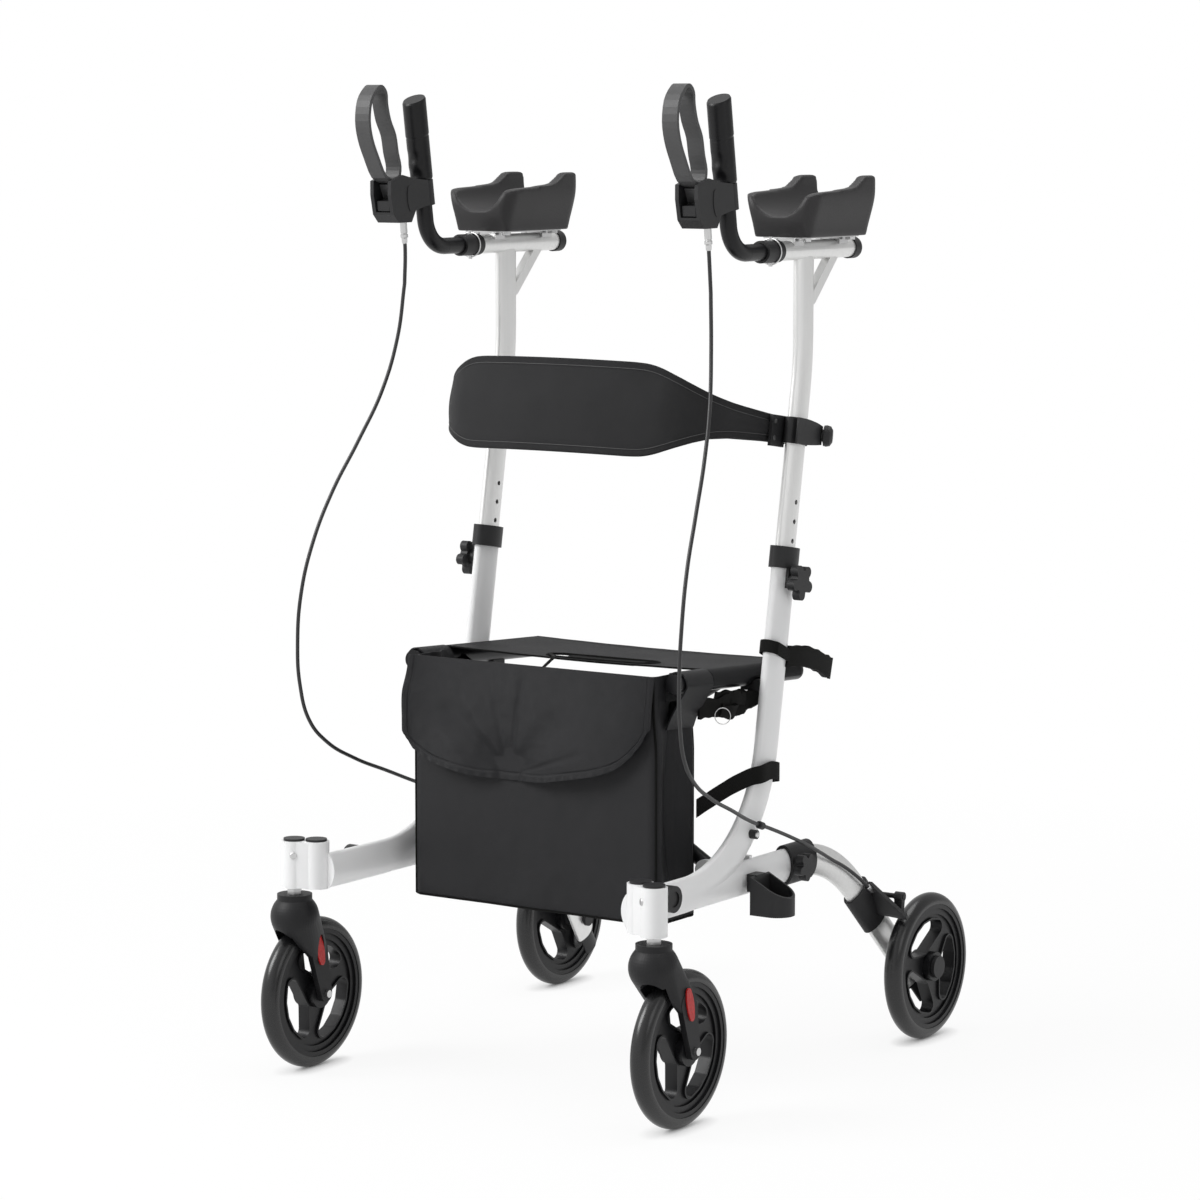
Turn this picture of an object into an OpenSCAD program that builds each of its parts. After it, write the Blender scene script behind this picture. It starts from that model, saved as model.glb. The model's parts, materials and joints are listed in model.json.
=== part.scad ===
// Upright walker: a folding rollator with forearm rests, vertical hand grips and cable brakes.
// Millimetres, +Z up, -Y forward, +X to the user's left, origin on the floor under the middle.

/* [Overall] */
// Distance between the front and rear axles
wheelbase = 596; // [570:2:620]
// Distance between the middle planes of the side frames
frame_w = 474; // [460:2:490]
// Distance of each rear wheel's middle out from its side frame
rear_offset = 66; // [64:1:78]
// Diameter of all four wheels
wheel_d = 200; // [190:2:206]
// Width of the tyres
tyre_w = 26; // [22:1:28]

/* [Side frame] */
// Height of the lower rail's middle
rail_z = 273; // [268:1:284]
// Long side of the flat oval frame tube
tube_l = 46; // [42:1:50]
// Short side of the flat oval frame tube
tube_w = 25; // [23:0.5:27]
// Radius of the rounded ends of the frame tube
tube_end_r = 7; // [6:0.5:8]
// Wall of the frame tube
tube_wall = 2; // [1.5:0.1:2.4]
// Where the leaning post would cross the rail, front to back
post_foot_y = -41; // [-50:1:-35]
// Backward lean of the post in degrees
post_lean = 10; // [8:0.5:12]
// Bend radius between rail and post
frame_bend_r = 200; // [180:5:220]
// Outer post tube from the rail's line to its top
post_tube_len = 413; // [400:1:430]
// Rear end of the stub that takes the rear leg
stub_end_y = 66; // [60:1:72]
// Diameter of the caster barrels
barrel_d = 34; // [32:1:36]
// Height of the caster barrels
barrel_h = 62; // [56:1:66]
// Distance between the twin barrels
barrel_pitch = 30; // [28:1:32]
// Rise of the barrels' middle over the rail's middle
barrel_rise = 7; // [4:1:7]
// Bend radius of the rear leg
leg_bend_r = 160; // [150:2:170]
// Downward slope of the rear leg in degrees
leg_slope = 50; // [48:0.5:52]
// Length of rear leg inside the stub
leg_plug_len = 70; // [50:1:90]
// Length of rear leg past the axle
leg_tail = 30; // [24:1:34]
// How far the rear leg stands out from the side frame at the axle
leg_out = 32; // [28:1:33]

/* [Upper posts] */
// Where the upright top part of the post stands, front to back
post_top_y = 75; // [70:1:80]
// Bend radius of the upper post
post_bend_r = 400; // [300:10:500]
// Length of inner post hidden in the outer tube
post_plug_len = 160; // [140:1:170]
// Height of the arm tube's middle
arm_tube_z = 1077; // [1060:1:1090]
// Diameter of the arm tube
arm_tube_d = 25.4; // [24.5:0.1:27]
// Front end of the arm tube
arm_front_y = -12; // [-16:1:-8]
// Rear end of the arm tube
arm_rear_y = 196; // [186:1:206]
// Pitch of the height holes
hole_pitch = 25.4; // [24:0.1:27]
// Diameter of the height holes
hole_d = 6.4; // [5:0.2:8]
// Number of height holes
hole_n = 6; // [4:1:6]

/* [Arm rests] */
// Width of the forearm pad
pad_w = 106; // [98:1:110]
// Length of the forearm pad
pad_l = 168; // [150:1:172]
// Height of the pad at its front corners
pad_h = 58; // [54:1:60]
// Extra height of the ears at the rear
pad_ear = 18; // [12:1:22]
// Depth of the forearm trough
pad_trough = 26; // [20:1:30]
// Front edge of the pad
pad_front_y = 10; // [6:1:16]
// Thickness of the pad's steel plate
plate_t = 2.5; // [2:0.1:3]

/* [Handles] */
// Diameter of the handle tube
handle_d = 22; // [21:0.1:22.2]
// Bend radius of the handle tube
handle_bend_r = 42; // [36:1:46]
// Forward lean of the handle in degrees
handle_lean = 8.5; // [6:0.5:10]
// Where the leaning handle crosses the arm tube's line
handle_y = -103; // [-108:1:-100]
// Diameter of the hand grip
grip_d = 31; // [29:0.5:33]
// Length of the hand grip
grip_l = 106; // [98:1:112]
// Height of the grip's lower end along the handle
grip_from = 90; // [86:1:94]
// Fore and aft travel of the handle each way
handle_travel = 25; // [15:1:28]
// Width of the brake lever's band
lever_w = 22; // [18:1:24]
// Thickness of the brake lever's band
lever_t = 5; // [4:0.2:6]
// Width of the brake housing
housing_w = 34; // [31:0.5:36]

/* [Casters] */
// Distance of the wheel's axle behind the stem
caster_trail = 45; // [40:1:48]
// Distance of each caster wheel out from its stem
caster_offset = 8; // [4:1:10]
// Diameter of the caster stem
stem_d = 12; // [10:0.5:14]
// Radius of the round fork crown
crown_r = 32; // [30:0.5:34]
// Thickness of each fork leg
fork_t = 8; // [6:0.5:9]
// Diameter of the caster axle
axle_d = 8; // [6:0.5:10]

/* [Wheels] */
// Radial thickness of the tyre
tyre_t = 15; // [12:0.5:17]
// Radial depth of the rim
rim_depth = 14; // [12:0.5:16]
// Diameter of the wheel hub
hub_d = 40; // [36:1:44]
// Thickness of the web between the spokes' lips
spoke_t = 12; // [10:0.5:14]
// Diameter of the rear axle
rear_axle_d = 12; // [10:0.5:14]

/* [Seat and cross frame] */
// Distance of each seat rail in from its side frame
rail_inset = 31.5; // [31:0.5:33]
// Diameter of the seat rails
seat_rail_d = 25.4; // [24:0.1:26]
// Front end of the seat rails
rail_front_y = -183; // [-190:1:-178]
// Rear end of the seat rails
rail_rear_y = 112; // [106:1:120]
// Height of the seat rails at the front end
rail_front_z = 536; // [528:1:546]
// Fall of the seat towards the rear in degrees
seat_slope = 3; // [0:0.5:4]
// Diameter of the cross bars
bar_d = 20; // [18:0.5:22]
// Distance of each lower pivot of the cross bars in from its side frame
pivot_inset = 34; // [33:0.5:38]
// Height of the lower pivots
pivot_z = 285; // [282:1:290]
// Where the cross frame stands, front to back
cross_y = -76; // [-80:1:-68]
// Front edge of the seat sling
sling_front_y = -112; // [-116:1:-100]
// Rear edge of the seat sling
sling_rear_y = 104; // [96:1:108]
// Thickness of the seat sling
sling_t = 2.4; // [1.6:0.1:3]

/* [Bag] */
// Room between the bag and each seat rail
bag_room = 4.3; // [4:0.1:15]
// Depth of the bag, front to back
bag_d = 94; // [86:1:96]
// Front of the bag
bag_front_y = -203; // [-208:1:-201]
// Height of the bag's bottom
bag_z = 226; // [222:1:240]
// Height of the bag's top edge
bag_top_z = 546; // [540:1:556]
// Dip of the bag's rear edge
bag_dip = 40; // [30:1:50]
// Thickness of the bag's cloth
cloth_t = 2.4; // [1.6:0.1:3]
// Length of the flap
flap_l = 142; // [120:1:160]

/* [Backrest] */
// Height of the strap at the post, along the post
strap_s = 578; // [570:1:590]
// Height of the wide middle of the strap
strap_h = 120; // [90:1:124]
// Height of the strap's ends
strap_end_h = 36; // [30:1:40]
// Thickness of the strap
strap_t = 9; // [6:0.5:11]
// Forward run of the strap's sides
strap_side = 130; // [100:1:150]
// Radius of the strap's corners
strap_corner_r = 84; // [70:1:90]
// Width of the strap's full height part
strap_wide = 300; // [260:1:310]

/* [Cane holder] */
// Reach of the cane cup from the frame
cup_l = 50; // [46:1:54]
// Width of the cane cup
cup_w = 46; // [40:1:50]
// Height of the cane cup at the frame
cup_h = 50; // [46:1:56]
// Wall of the cane cup
cup_wall = 3; // [2:0.5:4]

/* [Hidden] */
$fn = 64;
// One overrun serves all cuts
over = 1;
// Gaps: pieces that slide, pieces that turn on a pin, and pieces that sit fixed
slide_gap = 0.3;
run_gap = 0.05;
fit_gap = 0.15;
soft_gap = 0.4;
// Bends are this much slimmer than the straights they join
weld_step = 0.1;
stub_step = 0.6;
stub_lap = 6;
stub_bore_y = -60;

frame_x = frame_w / 2;
rear_x = frame_x + rear_offset;
wheel_r = wheel_d / 2;
axle_y = wheelbase / 2;
caster_y = -axle_y;
barrel_y = caster_y - caster_trail;
barrel_side = 16.5;
barrel_turn = 23;
inner_barrel_x = frame_x + barrel_side;
inner_barrel_y = barrel_y + barrel_pitch * sin(barrel_turn);
stem_x = inner_barrel_x + barrel_pitch * cos(barrel_turn);
barrel_places = [[inner_barrel_x, inner_barrel_y], [stem_x, barrel_y]];
caster_x = stem_x + caster_offset;
barrel_z = rail_z + barrel_rise - barrel_h / 2;
barrel_top = barrel_z + barrel_h;
barrel_wall = 4;

post_turn = 90 - post_lean;
frame_bend_back = frame_bend_r * tan(post_turn / 2);
bend_y = post_foot_y - frame_bend_back;
post_run = post_tube_len - frame_bend_back;

// Sections of the sliding tubes
bore_inset = tube_wall;
inner_inset = tube_wall + slide_gap;
inner_wall = 1.8;

// Collars on the outer post and on the rear stub
collar_wall = 4;
collar_lap = 14;
collar_lip = 14;
boss_d = 20;
boss_h = 5;
knob_drop = 30;
knob_d = 48;
knob_h = 11;
knob_lobes = 5;
knob_lobe_share = 0.15;
knob_core_share = 0.62;
rear_knob_d = 38;
stud_d = 6;
rear_collar_lap = 34;
rear_collar_lip = 26;
rear_knob_back = 24;

// Rear leg from its bend to the axle
leg_x = frame_x + leg_out;
leg_roll = atan2(leg_out, rail_z - wheel_r);
leg_drop = leg_bend_r * (1 - cos(leg_slope));
leg_straight = ((rail_z - wheel_r) / cos(leg_roll) - leg_drop) / sin(leg_slope);
leg_bend_y = axle_y - leg_bend_r * sin(leg_slope) - leg_straight * cos(leg_slope);
leg_start_y = stub_end_y - leg_plug_len;
peg_l = 36;
peg_share = 0.72;

// Upper post
post_top_s = (post_top_y - post_foot_y) / sin(post_lean);
post_bend_back = post_bend_r * tan(post_lean / 2);
post_start_s = post_tube_len - post_plug_len;
post_straight = post_top_s - post_bend_back - post_start_s;
post_upright = arm_tube_z - rail_z - post_top_s * cos(post_lean) - post_bend_back;
hole_lead = 8;
first_hole_s = post_tube_len + collar_lip + hole_lead;
visible_holes = 3;
gusset_w = 14;
gusset_t = 12;
gusset_reach = 72;
gusset_fall = 64;

// Fittings on the arm tube
nose_d = 29;
nose_front = 20;
nose_l = 40;
groove_d = 27.6;
groove_w = 4;
tail_d = 29;
tail_l = 14;
tail_lap = 10;
pin_d = 5;
pin_reach = 19;
ring_d = 33;
ring_wire = 2;

// Arm rest
saddle_h = 3;
saddle_l = 22;
saddle_w = 26;
plate_w = 60;
plate_margin = 14;
plate_z = arm_tube_z + arm_tube_d / 2 + saddle_h;
pad_z = plate_z + plate_t + fit_gap;
bolt_head_d = 15;
bolt_head_h = 4;
pad_round = 20;
pad_draft = 12;
saddle_shares = [0.2, 0.86];
// Side outline of the pad: shares of its length and of its height with the ears
pad_side_shares = [[0.07, 0], [0.92, 0], [0.98, 0.45], [1, 0.86], [0.97, 1], [0.78, 1], [0.62, 0.80],
    [0.08, 0.74], [0.02, 0.68], [0, 0.50]];
trough_r = 44;

// Handle
handle_turn = 90 - handle_lean;
handle_bend_back = handle_bend_r * tan(handle_turn / 2);
handle_plug = 80;
handle_wall = 2;
grip_end = 5;
housing_from = 42;
housing_h = 64;
housing_reach = 91;
clamp_from = 56;
clamp_gap = 1;
clamp_wall = 4;
boss_up = 73;
boss_out = 50;
boss_l = 34;
boss_w = 14;
boss_t = 0.8;
pivot_reach = 62;
pivot_up = 72;
lever_hub_d = 20;
lever_pin_d = 6;
lever_play = 0.6;
lever_slot = lever_w + 2 * lever_play;
lever_rise = 152;
lever_spread = 60;
lever_stem_t = 16;
loop_steps = 3;
// Loop of the lever: shares of its spread forward and of its rise, up the front and down the back
lever_shares = [[0.13, 0.17], [0.47, 0.24], [0.68, 0.42], [0.82, 0.58], [0.85, 0.74], [0.72, 0.9], [0.47, 0.985],
    [0.3, 1], [0.17, 0.94], [0.18, 0.84], [0.13, 0.7], [0, 0.566], [-0.03, 0.414], [-0.08, 0.29], [0, 0.2],
    [0.13, 0.17]];
// Side outline of the housing: shares of its reach forward and of its height
housing_shares = [[0.09, 0.76], [0.4, 0.86], [0.68, 1], [0.97, 0.94], [1, 0.66], [0.98, 0.25], [0.88, 0.06],
    [0.57, 0], [0.44, 0.22], [0.09, 0.25]];

// Caster
crown_drop = 63;
crown_z = rail_z - crown_drop;
ring_drop = 24;
ring_z = barrel_z - ring_drop;
ring_h = 15;
crown_ring_d = 46;
crown_neck_d = 42;
nut_d = 20;
nut_h = 7;
fork_gap = 4;
fork_x = tyre_w / 2 + fork_gap;
// Middle of each fork leg: back from the stem's line, up from the axle, and its radius
fork_mid = [-15, 62];
fork_mid_r = 17;
fork_foot_r = 11;
crown_fn = 48;
fork_melt = 0.6;
wheel_room = 5;
hub_gap = 0.6;
reflector_l = 44;
reflector_w = 15;
reflector_t = 2;
bolt_cap_d = 10;
bolt_cap_h = 4;

// Wheels
rim_r = wheel_r - tyre_t;
rim_in_r = rim_r - rim_depth;
rim_inset = 1;
rim_w = tyre_w - 2 * rim_inset;
tyre_round_share = 0.6;
bead_w = 3;
hub_w = 2 * fork_x - 2 * hub_gap;
rim_step = 6;
rim_step_w = 18;
spoke_n = 3;
lip_w = 2.5;
lip_t = 3;
// Windows between the spokes: reach and radius of their outer and inner corners, and their spread in degrees
window_out = 54;
window_out_r = 10;
window_in = 33;
window_in_r = 9;
window_half = 38;
window_steps = 4;
window_lean = 14;
window_fn = 40;
caster_turn = 111;
rear_turn = 138;
hub_proud = 3;
rear_hub_w = tyre_w + 2 * hub_proud;
spacer_d = 24;
rear_cap_d = 30;
rear_cap_h = 5;
axle_head_d = 20;

// Brake at the rear wheel
guard_from = 4;
guard_l = 60;
guard_wall = 4;
wing_t = 5;
shoe_gap = 3;
shoe_w = 12;
shoe_t = 8;
shoe_pin_d = 7;
shoe_hub_d = 13;
// Points at the wheel: over the leg's line, out from the axle past the tyre, and out from the side frame
wing_points = [[14, 41, 22], [-8, 7, 74], [-2, 4, 22]];
shoe_pin_over = 20;
shoe_pin_out = 20;
shoe_tip_over = 6;
shoe_side = 60;

// Seat rails and cross frame
rail_x = frame_x - rail_inset;
rail_span = 2 * rail_x;
pivot_x = frame_x - pivot_inset;
rail_mid_drop = tan(seat_slope);
cross_rail_z = rail_front_z - (cross_y - rail_front_y) * rail_mid_drop;
bar_rise = cross_rail_z - pivot_z;
bar_run = rail_x + pivot_x;
bar_slope = atan2(bar_rise, bar_run);
bar_gap = 4;
bar_step = (bar_d + bar_gap) / 2;
bar_len = sqrt(bar_rise * bar_rise + bar_run * bar_run);
bar_stop = 6;
centre_z = pivot_z + bar_rise * pivot_x / bar_run;
rail_wall = 2;
rail_cap_l = 5;
sleeve_d = 26;
pivot_pin_d = 12;
ear_t = 6;
ear_r = 14;
ear_span = 50;
centre_pin_d = 10;
centre_head_d = 18;
centre_head_h = 4;

// Seat cradle on the post
cradle_drop = 3;
cradle_ahead = 4;
post_y_at_seat = post_foot_y + (rail_front_z - rail_z) * tan(post_lean) - cradle_ahead;
cradle_w = 26;
cradle_lip = 8;
cradle_wall = 5;

// Bag
bag_corner_r = 14;
loop_w = 30;
loop_y = -150;
loop_t = 2;
flap_inset = 6;
bag_w = 2 * (rail_x - seat_rail_d / 2 - bag_room);
flap_w = bag_w - 2 * flap_inset;
flap_corner_r = 60;
flap_arc_r = 700;

// Backrest strap
strap_tilt = 5;
strap_turn = 68;
strap_taper_share = 0.97;
clip_h = 34;
clip_t = 2.5;
knob_stub_d = 17;
knob_stub_l = 22;
strap_x = frame_x - tube_w / 2 + inner_inset - fit_gap - clip_t - soft_gap - strap_t / 2;
strap_sweep = strap_tilt + strap_turn;
side_end = [strap_x - strap_side * sin(strap_tilt), -strap_side * cos(strap_tilt)];
corner_c = side_end - strap_corner_r * [cos(strap_tilt), -sin(strap_tilt)];
corner_end = corner_c + strap_corner_r * [cos(strap_sweep), -sin(strap_sweep)];
front_r = corner_end[0] / cos(strap_sweep);
front_c = [0, corner_end[1] + front_r * sin(strap_sweep)];
strap_steps = 5;
strap_half = concat(
    [for (k = [strap_steps : -1 : 1]) side_end + k / strap_steps * strap_side * [sin(strap_tilt), cos(strap_tilt)]],
    [for (k = [0 : 2 * strap_steps - 1]) let (a = strap_tilt + strap_turn * k / strap_steps / 2)
        corner_c + strap_corner_r * [cos(a), -sin(a)]],
    [for (k = [0 : strap_steps - 1]) let (a = strap_sweep + (90 - strap_sweep) * k / strap_steps)
        front_c + front_r * [cos(a), -sin(a)]]);
strap_line = concat(strap_half, [front_c - [0, front_r]],
    [for (i = [len(strap_half) - 1 : -1 : 0]) [-strap_half[i][0], strap_half[i][1]]]);
// Crowned section of the strap: shares of its thickness and of its height
strap_shares = [[0.5, 0], [0.46, 0.28], [0.32, 0.44], [0.12, 0.5], [-0.12, 0.5], [-0.32, 0.44], [-0.46, 0.28],
    [-0.5, 0], [-0.46, -0.28], [-0.32, -0.44], [-0.12, -0.5], [0.12, -0.5], [0.32, -0.44], [0.46, -0.28]];

// Cane holder and tie
cup_y = -66;
cup_drop = 43;
cup_z = rail_z - cup_drop;
cup_fall = 26;
cup_arm = 12;
tie_s = 287;
tie_h = 22;
tie_t = 2;
tie_tail = 96;

// Frame trim
cap_h = 3;
cap_lap = 2;
plug_d = 34;
plug_h = 7;
plug_y = -258;
plug_rise = 5;
plug_recess_d = 20;
plug_recess = 2;
clip_turn = 45;
clip_d = 12;
clip_l = 9;

// Brake cable from the housing to the guard, chosen by hand
cable_d = 5;
cable_sides = 8;
cable_steps = 3;
cable_route = [[237, -155.8, 1102], [237, -153, 1075], [239, -152, 1030], [245, -160, 960], [256, -180, 890],
    [270, -214, 825], [283, -254, 760], [291, -286, 695], [296, -305, 630], [297, -312, 565],
    [296, -309, 510], [293, -294, 462], [288, -264, 430], [281, -214, 402], [273, -152, 377],
    [265, -92, 353], [262, -41, 336], [261, 16, 315], [260, 64, 295.5], [257, 98, 281], [256, 127, 267.5],
    [257, 155, 254.5], [260, 184, 237], [264, 210, 217.5], [264.5, 213, 215]];

white = "#e9e9ea";
silver = "#c2c3c4";
steel = "#a9abad";
black = "#1d1d1f";
charcoal = "#2b2b2d";
cloth = "#18181a";
red = "#b3262b";

// Sides: pieces are drawn on the left and mirrored to the right
module left() {
    children();
}
module right() {
    mirror([1, 0, 0]) children();
}

// Flat oval outline of four arcs, long side along X
module oval(l, w, r) {
    a = l / 2 - r;
    b = w / 2;
    side_r = (a * a + b * b - r * r) / (w - 2 * r);
    reach = a * side_r / (side_r - r);
    for (s = [-1, 1])
        translate([s * a, 0]) circle(r = r);
    intersection() {
        translate([0, b - side_r]) circle(r = side_r, $fn = 128);
        translate([0, side_r - b]) circle(r = side_r, $fn = 128);
        square([2 * reach, 2 * w], center = true);
    }
}
// Section of the frame tube, inset or grown by a negative inset
module tube_section(inset) {
    oval(tube_l - 2 * inset, tube_w - 2 * inset, tube_end_r - inset);
}
// A bend that starts along +Z and turns towards -X, and the frame at its far end
module elbow(r, turn) {
    translate([-r, 0, 0]) rotate([90, 0, 0]) rotate_extrude(angle = turn, $fn = 128)
        translate([r, 0]) children();
}
module past_elbow(r, turn) {
    translate([-r * (1 - cos(turn)), 0, r * sin(turn)]) rotate([0, -turn, 0]) children();
}
// Local frames: rearward along the rail, up along the post and down along the leg
module rail_frame(y) {
    translate([frame_x, y, rail_z]) rotate([-90, 0, 0]) rotate([0, 0, 90]) children();
}
module post_frame(s) {
    translate([frame_x, post_foot_y, rail_z]) rotate([-post_lean, 0, 0]) translate([0, 0, s])
        rotate([0, 0, 90]) children();
}
module leg_frame(y) {
    translate([frame_x, y, rail_z]) rotate([-90, 0, 0]) rotate([0, 0, -90]) children();
}
module leg_foot_frame(t) {
    leg_frame(leg_bend_y) rotate([0, 0, -leg_roll]) past_elbow(leg_bend_r, leg_slope)
        rotate([0, 0, leg_roll]) translate([0, 0, t]) children();
}
// A cylinder along X or along Y from a point
module along_x(d, h) {
    rotate([0, 90, 0]) cylinder(d = d, h = h);
}
module along_y(d, h) {
    rotate([-90, 0, 0]) cylinder(d = d, h = h);
}
// A straight strip between two points of a plane, with round ends
module strip(p, q, t) {
    d = q - p;
    translate(p) rotate(atan2(d[1], d[0])) translate([0, -t / 2]) square([norm(d), t]);
    for (c = [p, q])
        translate(c) circle(d = t, $fn = 24);
}
module star(d, n) {
    lobe = d * knob_lobe_share;
    circle(d = d * knob_core_share);
    for (i = [0 : n - 1])
        rotate(i * 360 / n) {
            translate([d / 2 - lobe, 0]) circle(r = lobe);
            translate([0, -lobe]) square([d / 2 - lobe, 2 * lobe]);
        }
}

// Lines of points: a smooth curve through them, the direction at one of them, and a line beside them
function smooth(p, i, t) =
    let (n = len(p) - 1, a = p[max(i - 1, 0)], b = p[i], c = p[min(i + 1, n)], d = p[min(i + 2, n)])
    b + t * (c - a) / 2 + t * t * (a - 2.5 * b + 2 * c - d / 2) + t * t * t * (1.5 * (b - c) + (d - a) / 2);
function heading(line, i) =
    let (w = line[min(i + 1, len(line) - 1)] - line[max(i - 1, 0)])
    w / norm(w);
function beside(line, gap) =
    [for (i = [0 : len(line) - 1]) let (u = heading(line, i)) line[i] + gap * [-u[1], u[0]]];

// Rail, bend and post as one tube, and the rear stub welded under the bend
module frame_path(from_y, extra, inset) {
    rail_frame(from_y) linear_extrude(bend_y - from_y + over) tube_section(inset);
    rail_frame(bend_y) {
        elbow(frame_bend_r, post_turn) tube_section(inset + weld_step);
        past_elbow(frame_bend_r, post_turn) translate([0, 0, -over])
            linear_extrude(post_run + extra + over) tube_section(inset);
    }
}
module stub_path(from_y, extra, inset) {
    rail_frame(from_y) linear_extrude(stub_end_y - from_y + extra) tube_section(inset);
}
module pivot_ears() {
    for (y = [cross_y - ear_span / 2 - ear_t, cross_y + ear_span / 2])
        translate([pivot_x, y, pivot_z]) {
            along_y(2 * ear_r, ear_t);
            translate([0, 0, -ear_r]) cube([frame_x - pivot_x, ear_t, 2 * ear_r]);
        }
    translate([pivot_x, cross_y - ear_span / 2 - ear_t / 2, pivot_z]) along_y(pivot_pin_d, ear_span + ear_t);
}
module side_frame() {
    color(white) difference() {
        union() {
            frame_path(inner_barrel_y, 0, 0);
            stub_path(bend_y - stub_lap, 0, stub_step);
            for (p = barrel_places)
                translate([p[0], p[1], barrel_z]) cylinder(d = barrel_d, h = barrel_h);
            translate([inner_barrel_x, inner_barrel_y, barrel_z]) rotate([0, 0, -barrel_turn])
                translate([0, -barrel_wall, over]) cube([barrel_pitch, 2 * barrel_wall, barrel_h - 2 * over]);
            pivot_ears();
        }
        frame_path(inner_barrel_y + barrel_d / 2, over, bore_inset);
        stub_path(stub_bore_y, over, bore_inset);
        translate([stem_x, barrel_y, barrel_z - over]) cylinder(d = stem_d + 2 * run_gap, h = barrel_h + 2 * over);
        translate([inner_barrel_x, inner_barrel_y, barrel_z + barrel_wall])
            cylinder(d = barrel_d - 2 * barrel_wall, h = barrel_h);
        knob_bore();
        rear_knob_bore();
    }
}
module knob_place() {
    post_frame(post_tube_len - knob_drop) rotate([0, 0, -90]) children();
}
module rear_knob_place() {
    translate([frame_x, stub_end_y - rear_knob_back, rail_z]) children();
}
module knob_bore() {
    knob_place() along_x(stud_d + 2 * run_gap, tube_w);
}
module rear_knob_bore() {
    rear_knob_place() along_x(stud_d + 2 * run_gap, tube_w);
}

// Black plastic collars, caps, plug, cable clip and tipping peg of one side frame
module post_collar() {
    difference() {
        union() {
            post_frame(post_tube_len - collar_lap) linear_extrude(collar_lap + collar_lip) tube_section(-collar_wall);
            intersection() {
                post_frame(post_tube_len - knob_drop - boss_d / 2)
                    linear_extrude(knob_drop + boss_d / 2) tube_section(-collar_wall);
                knob_place() translate([tube_w / 4, -boss_d / 2, -boss_d / 2]) cube([tube_w, boss_d, knob_drop + boss_d]);
            }
            knob_place() translate([tube_w / 2 + collar_wall / 2, 0, 0]) along_x(boss_d, collar_wall / 2 + boss_h);
        }
        post_frame(post_tube_len - knob_drop - boss_d) linear_extrude(knob_drop + boss_d + fit_gap) tube_section(-fit_gap);
        post_frame(post_tube_len - over) linear_extrude(collar_lip + 2 * over) tube_section(bore_inset);
        knob_place() along_x(stud_d + 2 * run_gap, tube_w * 2);
    }
}
module rear_collar() {
    difference() {
        union() {
            rail_frame(stub_end_y - rear_collar_lap)
                linear_extrude(rear_collar_lap + rear_collar_lip) tube_section(-collar_wall);
            rear_knob_place() translate([tube_w / 2 + collar_wall / 2, 0, 0]) along_x(boss_d, collar_wall / 2 + boss_h);
        }
        rail_frame(stub_end_y - rear_collar_lap - over)
            linear_extrude(rear_collar_lap + over + fit_gap) tube_section(-fit_gap);
        leg_path(0, bore_inset);
        rear_knob_place() along_x(stud_d + 2 * run_gap, tube_w * 2);
    }
}
module cable_clip() {
    translate([frame_x, bend_y + frame_bend_r * sin(clip_turn), rail_z + frame_bend_r * (1 - cos(clip_turn))])
        along_x(clip_d, tube_w / 2 + clip_l);
}
module frame_trim() {
    color(black) {
        post_collar();
        rear_collar();
        for (p = barrel_places)
            translate([p[0], p[1], barrel_top]) cylinder(d = barrel_d - 2 * barrel_wall + cap_lap, h = cap_h);
        difference() {
            union() {
                translate([frame_x, plug_y, rail_z + plug_rise]) along_x(plug_d, tube_w / 2 + plug_h);
                cable_clip();
            }
            translate([frame_x + tube_w / 2 + plug_h - plug_recess, plug_y, rail_z + plug_rise])
                along_x(plug_recess_d, plug_h);
            frame_path(inner_barrel_y, 0, -fit_gap);
        }
        leg_foot_frame(leg_straight + leg_tail + fit_gap) {
            linear_extrude(cap_h) tube_section(inner_inset);
            linear_extrude(peg_l) oval((tube_l - 2 * inner_inset) * peg_share,
                (tube_w - 2 * inner_inset) * peg_share, tube_end_r * peg_share / 2);
        }
    }
}

// Cradle on the post that the open seat rail rests in
module rail_place(y) {
    translate([rail_x, y, rail_front_z - (y - rail_front_y) * rail_mid_drop]) rotate([-90 - seat_slope, 0, 0]) children();
}
module seat_cradle() {
    cradle_z = rail_front_z - (post_y_at_seat - rail_front_y) * rail_mid_drop;
    bottom = seat_rail_d / 2 + cradle_wall;
    color(black) difference() {
        translate([rail_x - cradle_lip, post_y_at_seat - cradle_w / 2, cradle_z - bottom])
            cube([frame_x - rail_x + cradle_lip, cradle_w, bottom - cradle_drop]);
        post_frame(0) linear_extrude(post_tube_len) tube_section(-fit_gap);
        rail_place(rail_front_y) cylinder(d = seat_rail_d + 2 * soft_gap, h = rail_rear_y - rail_front_y);
    }
}

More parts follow.
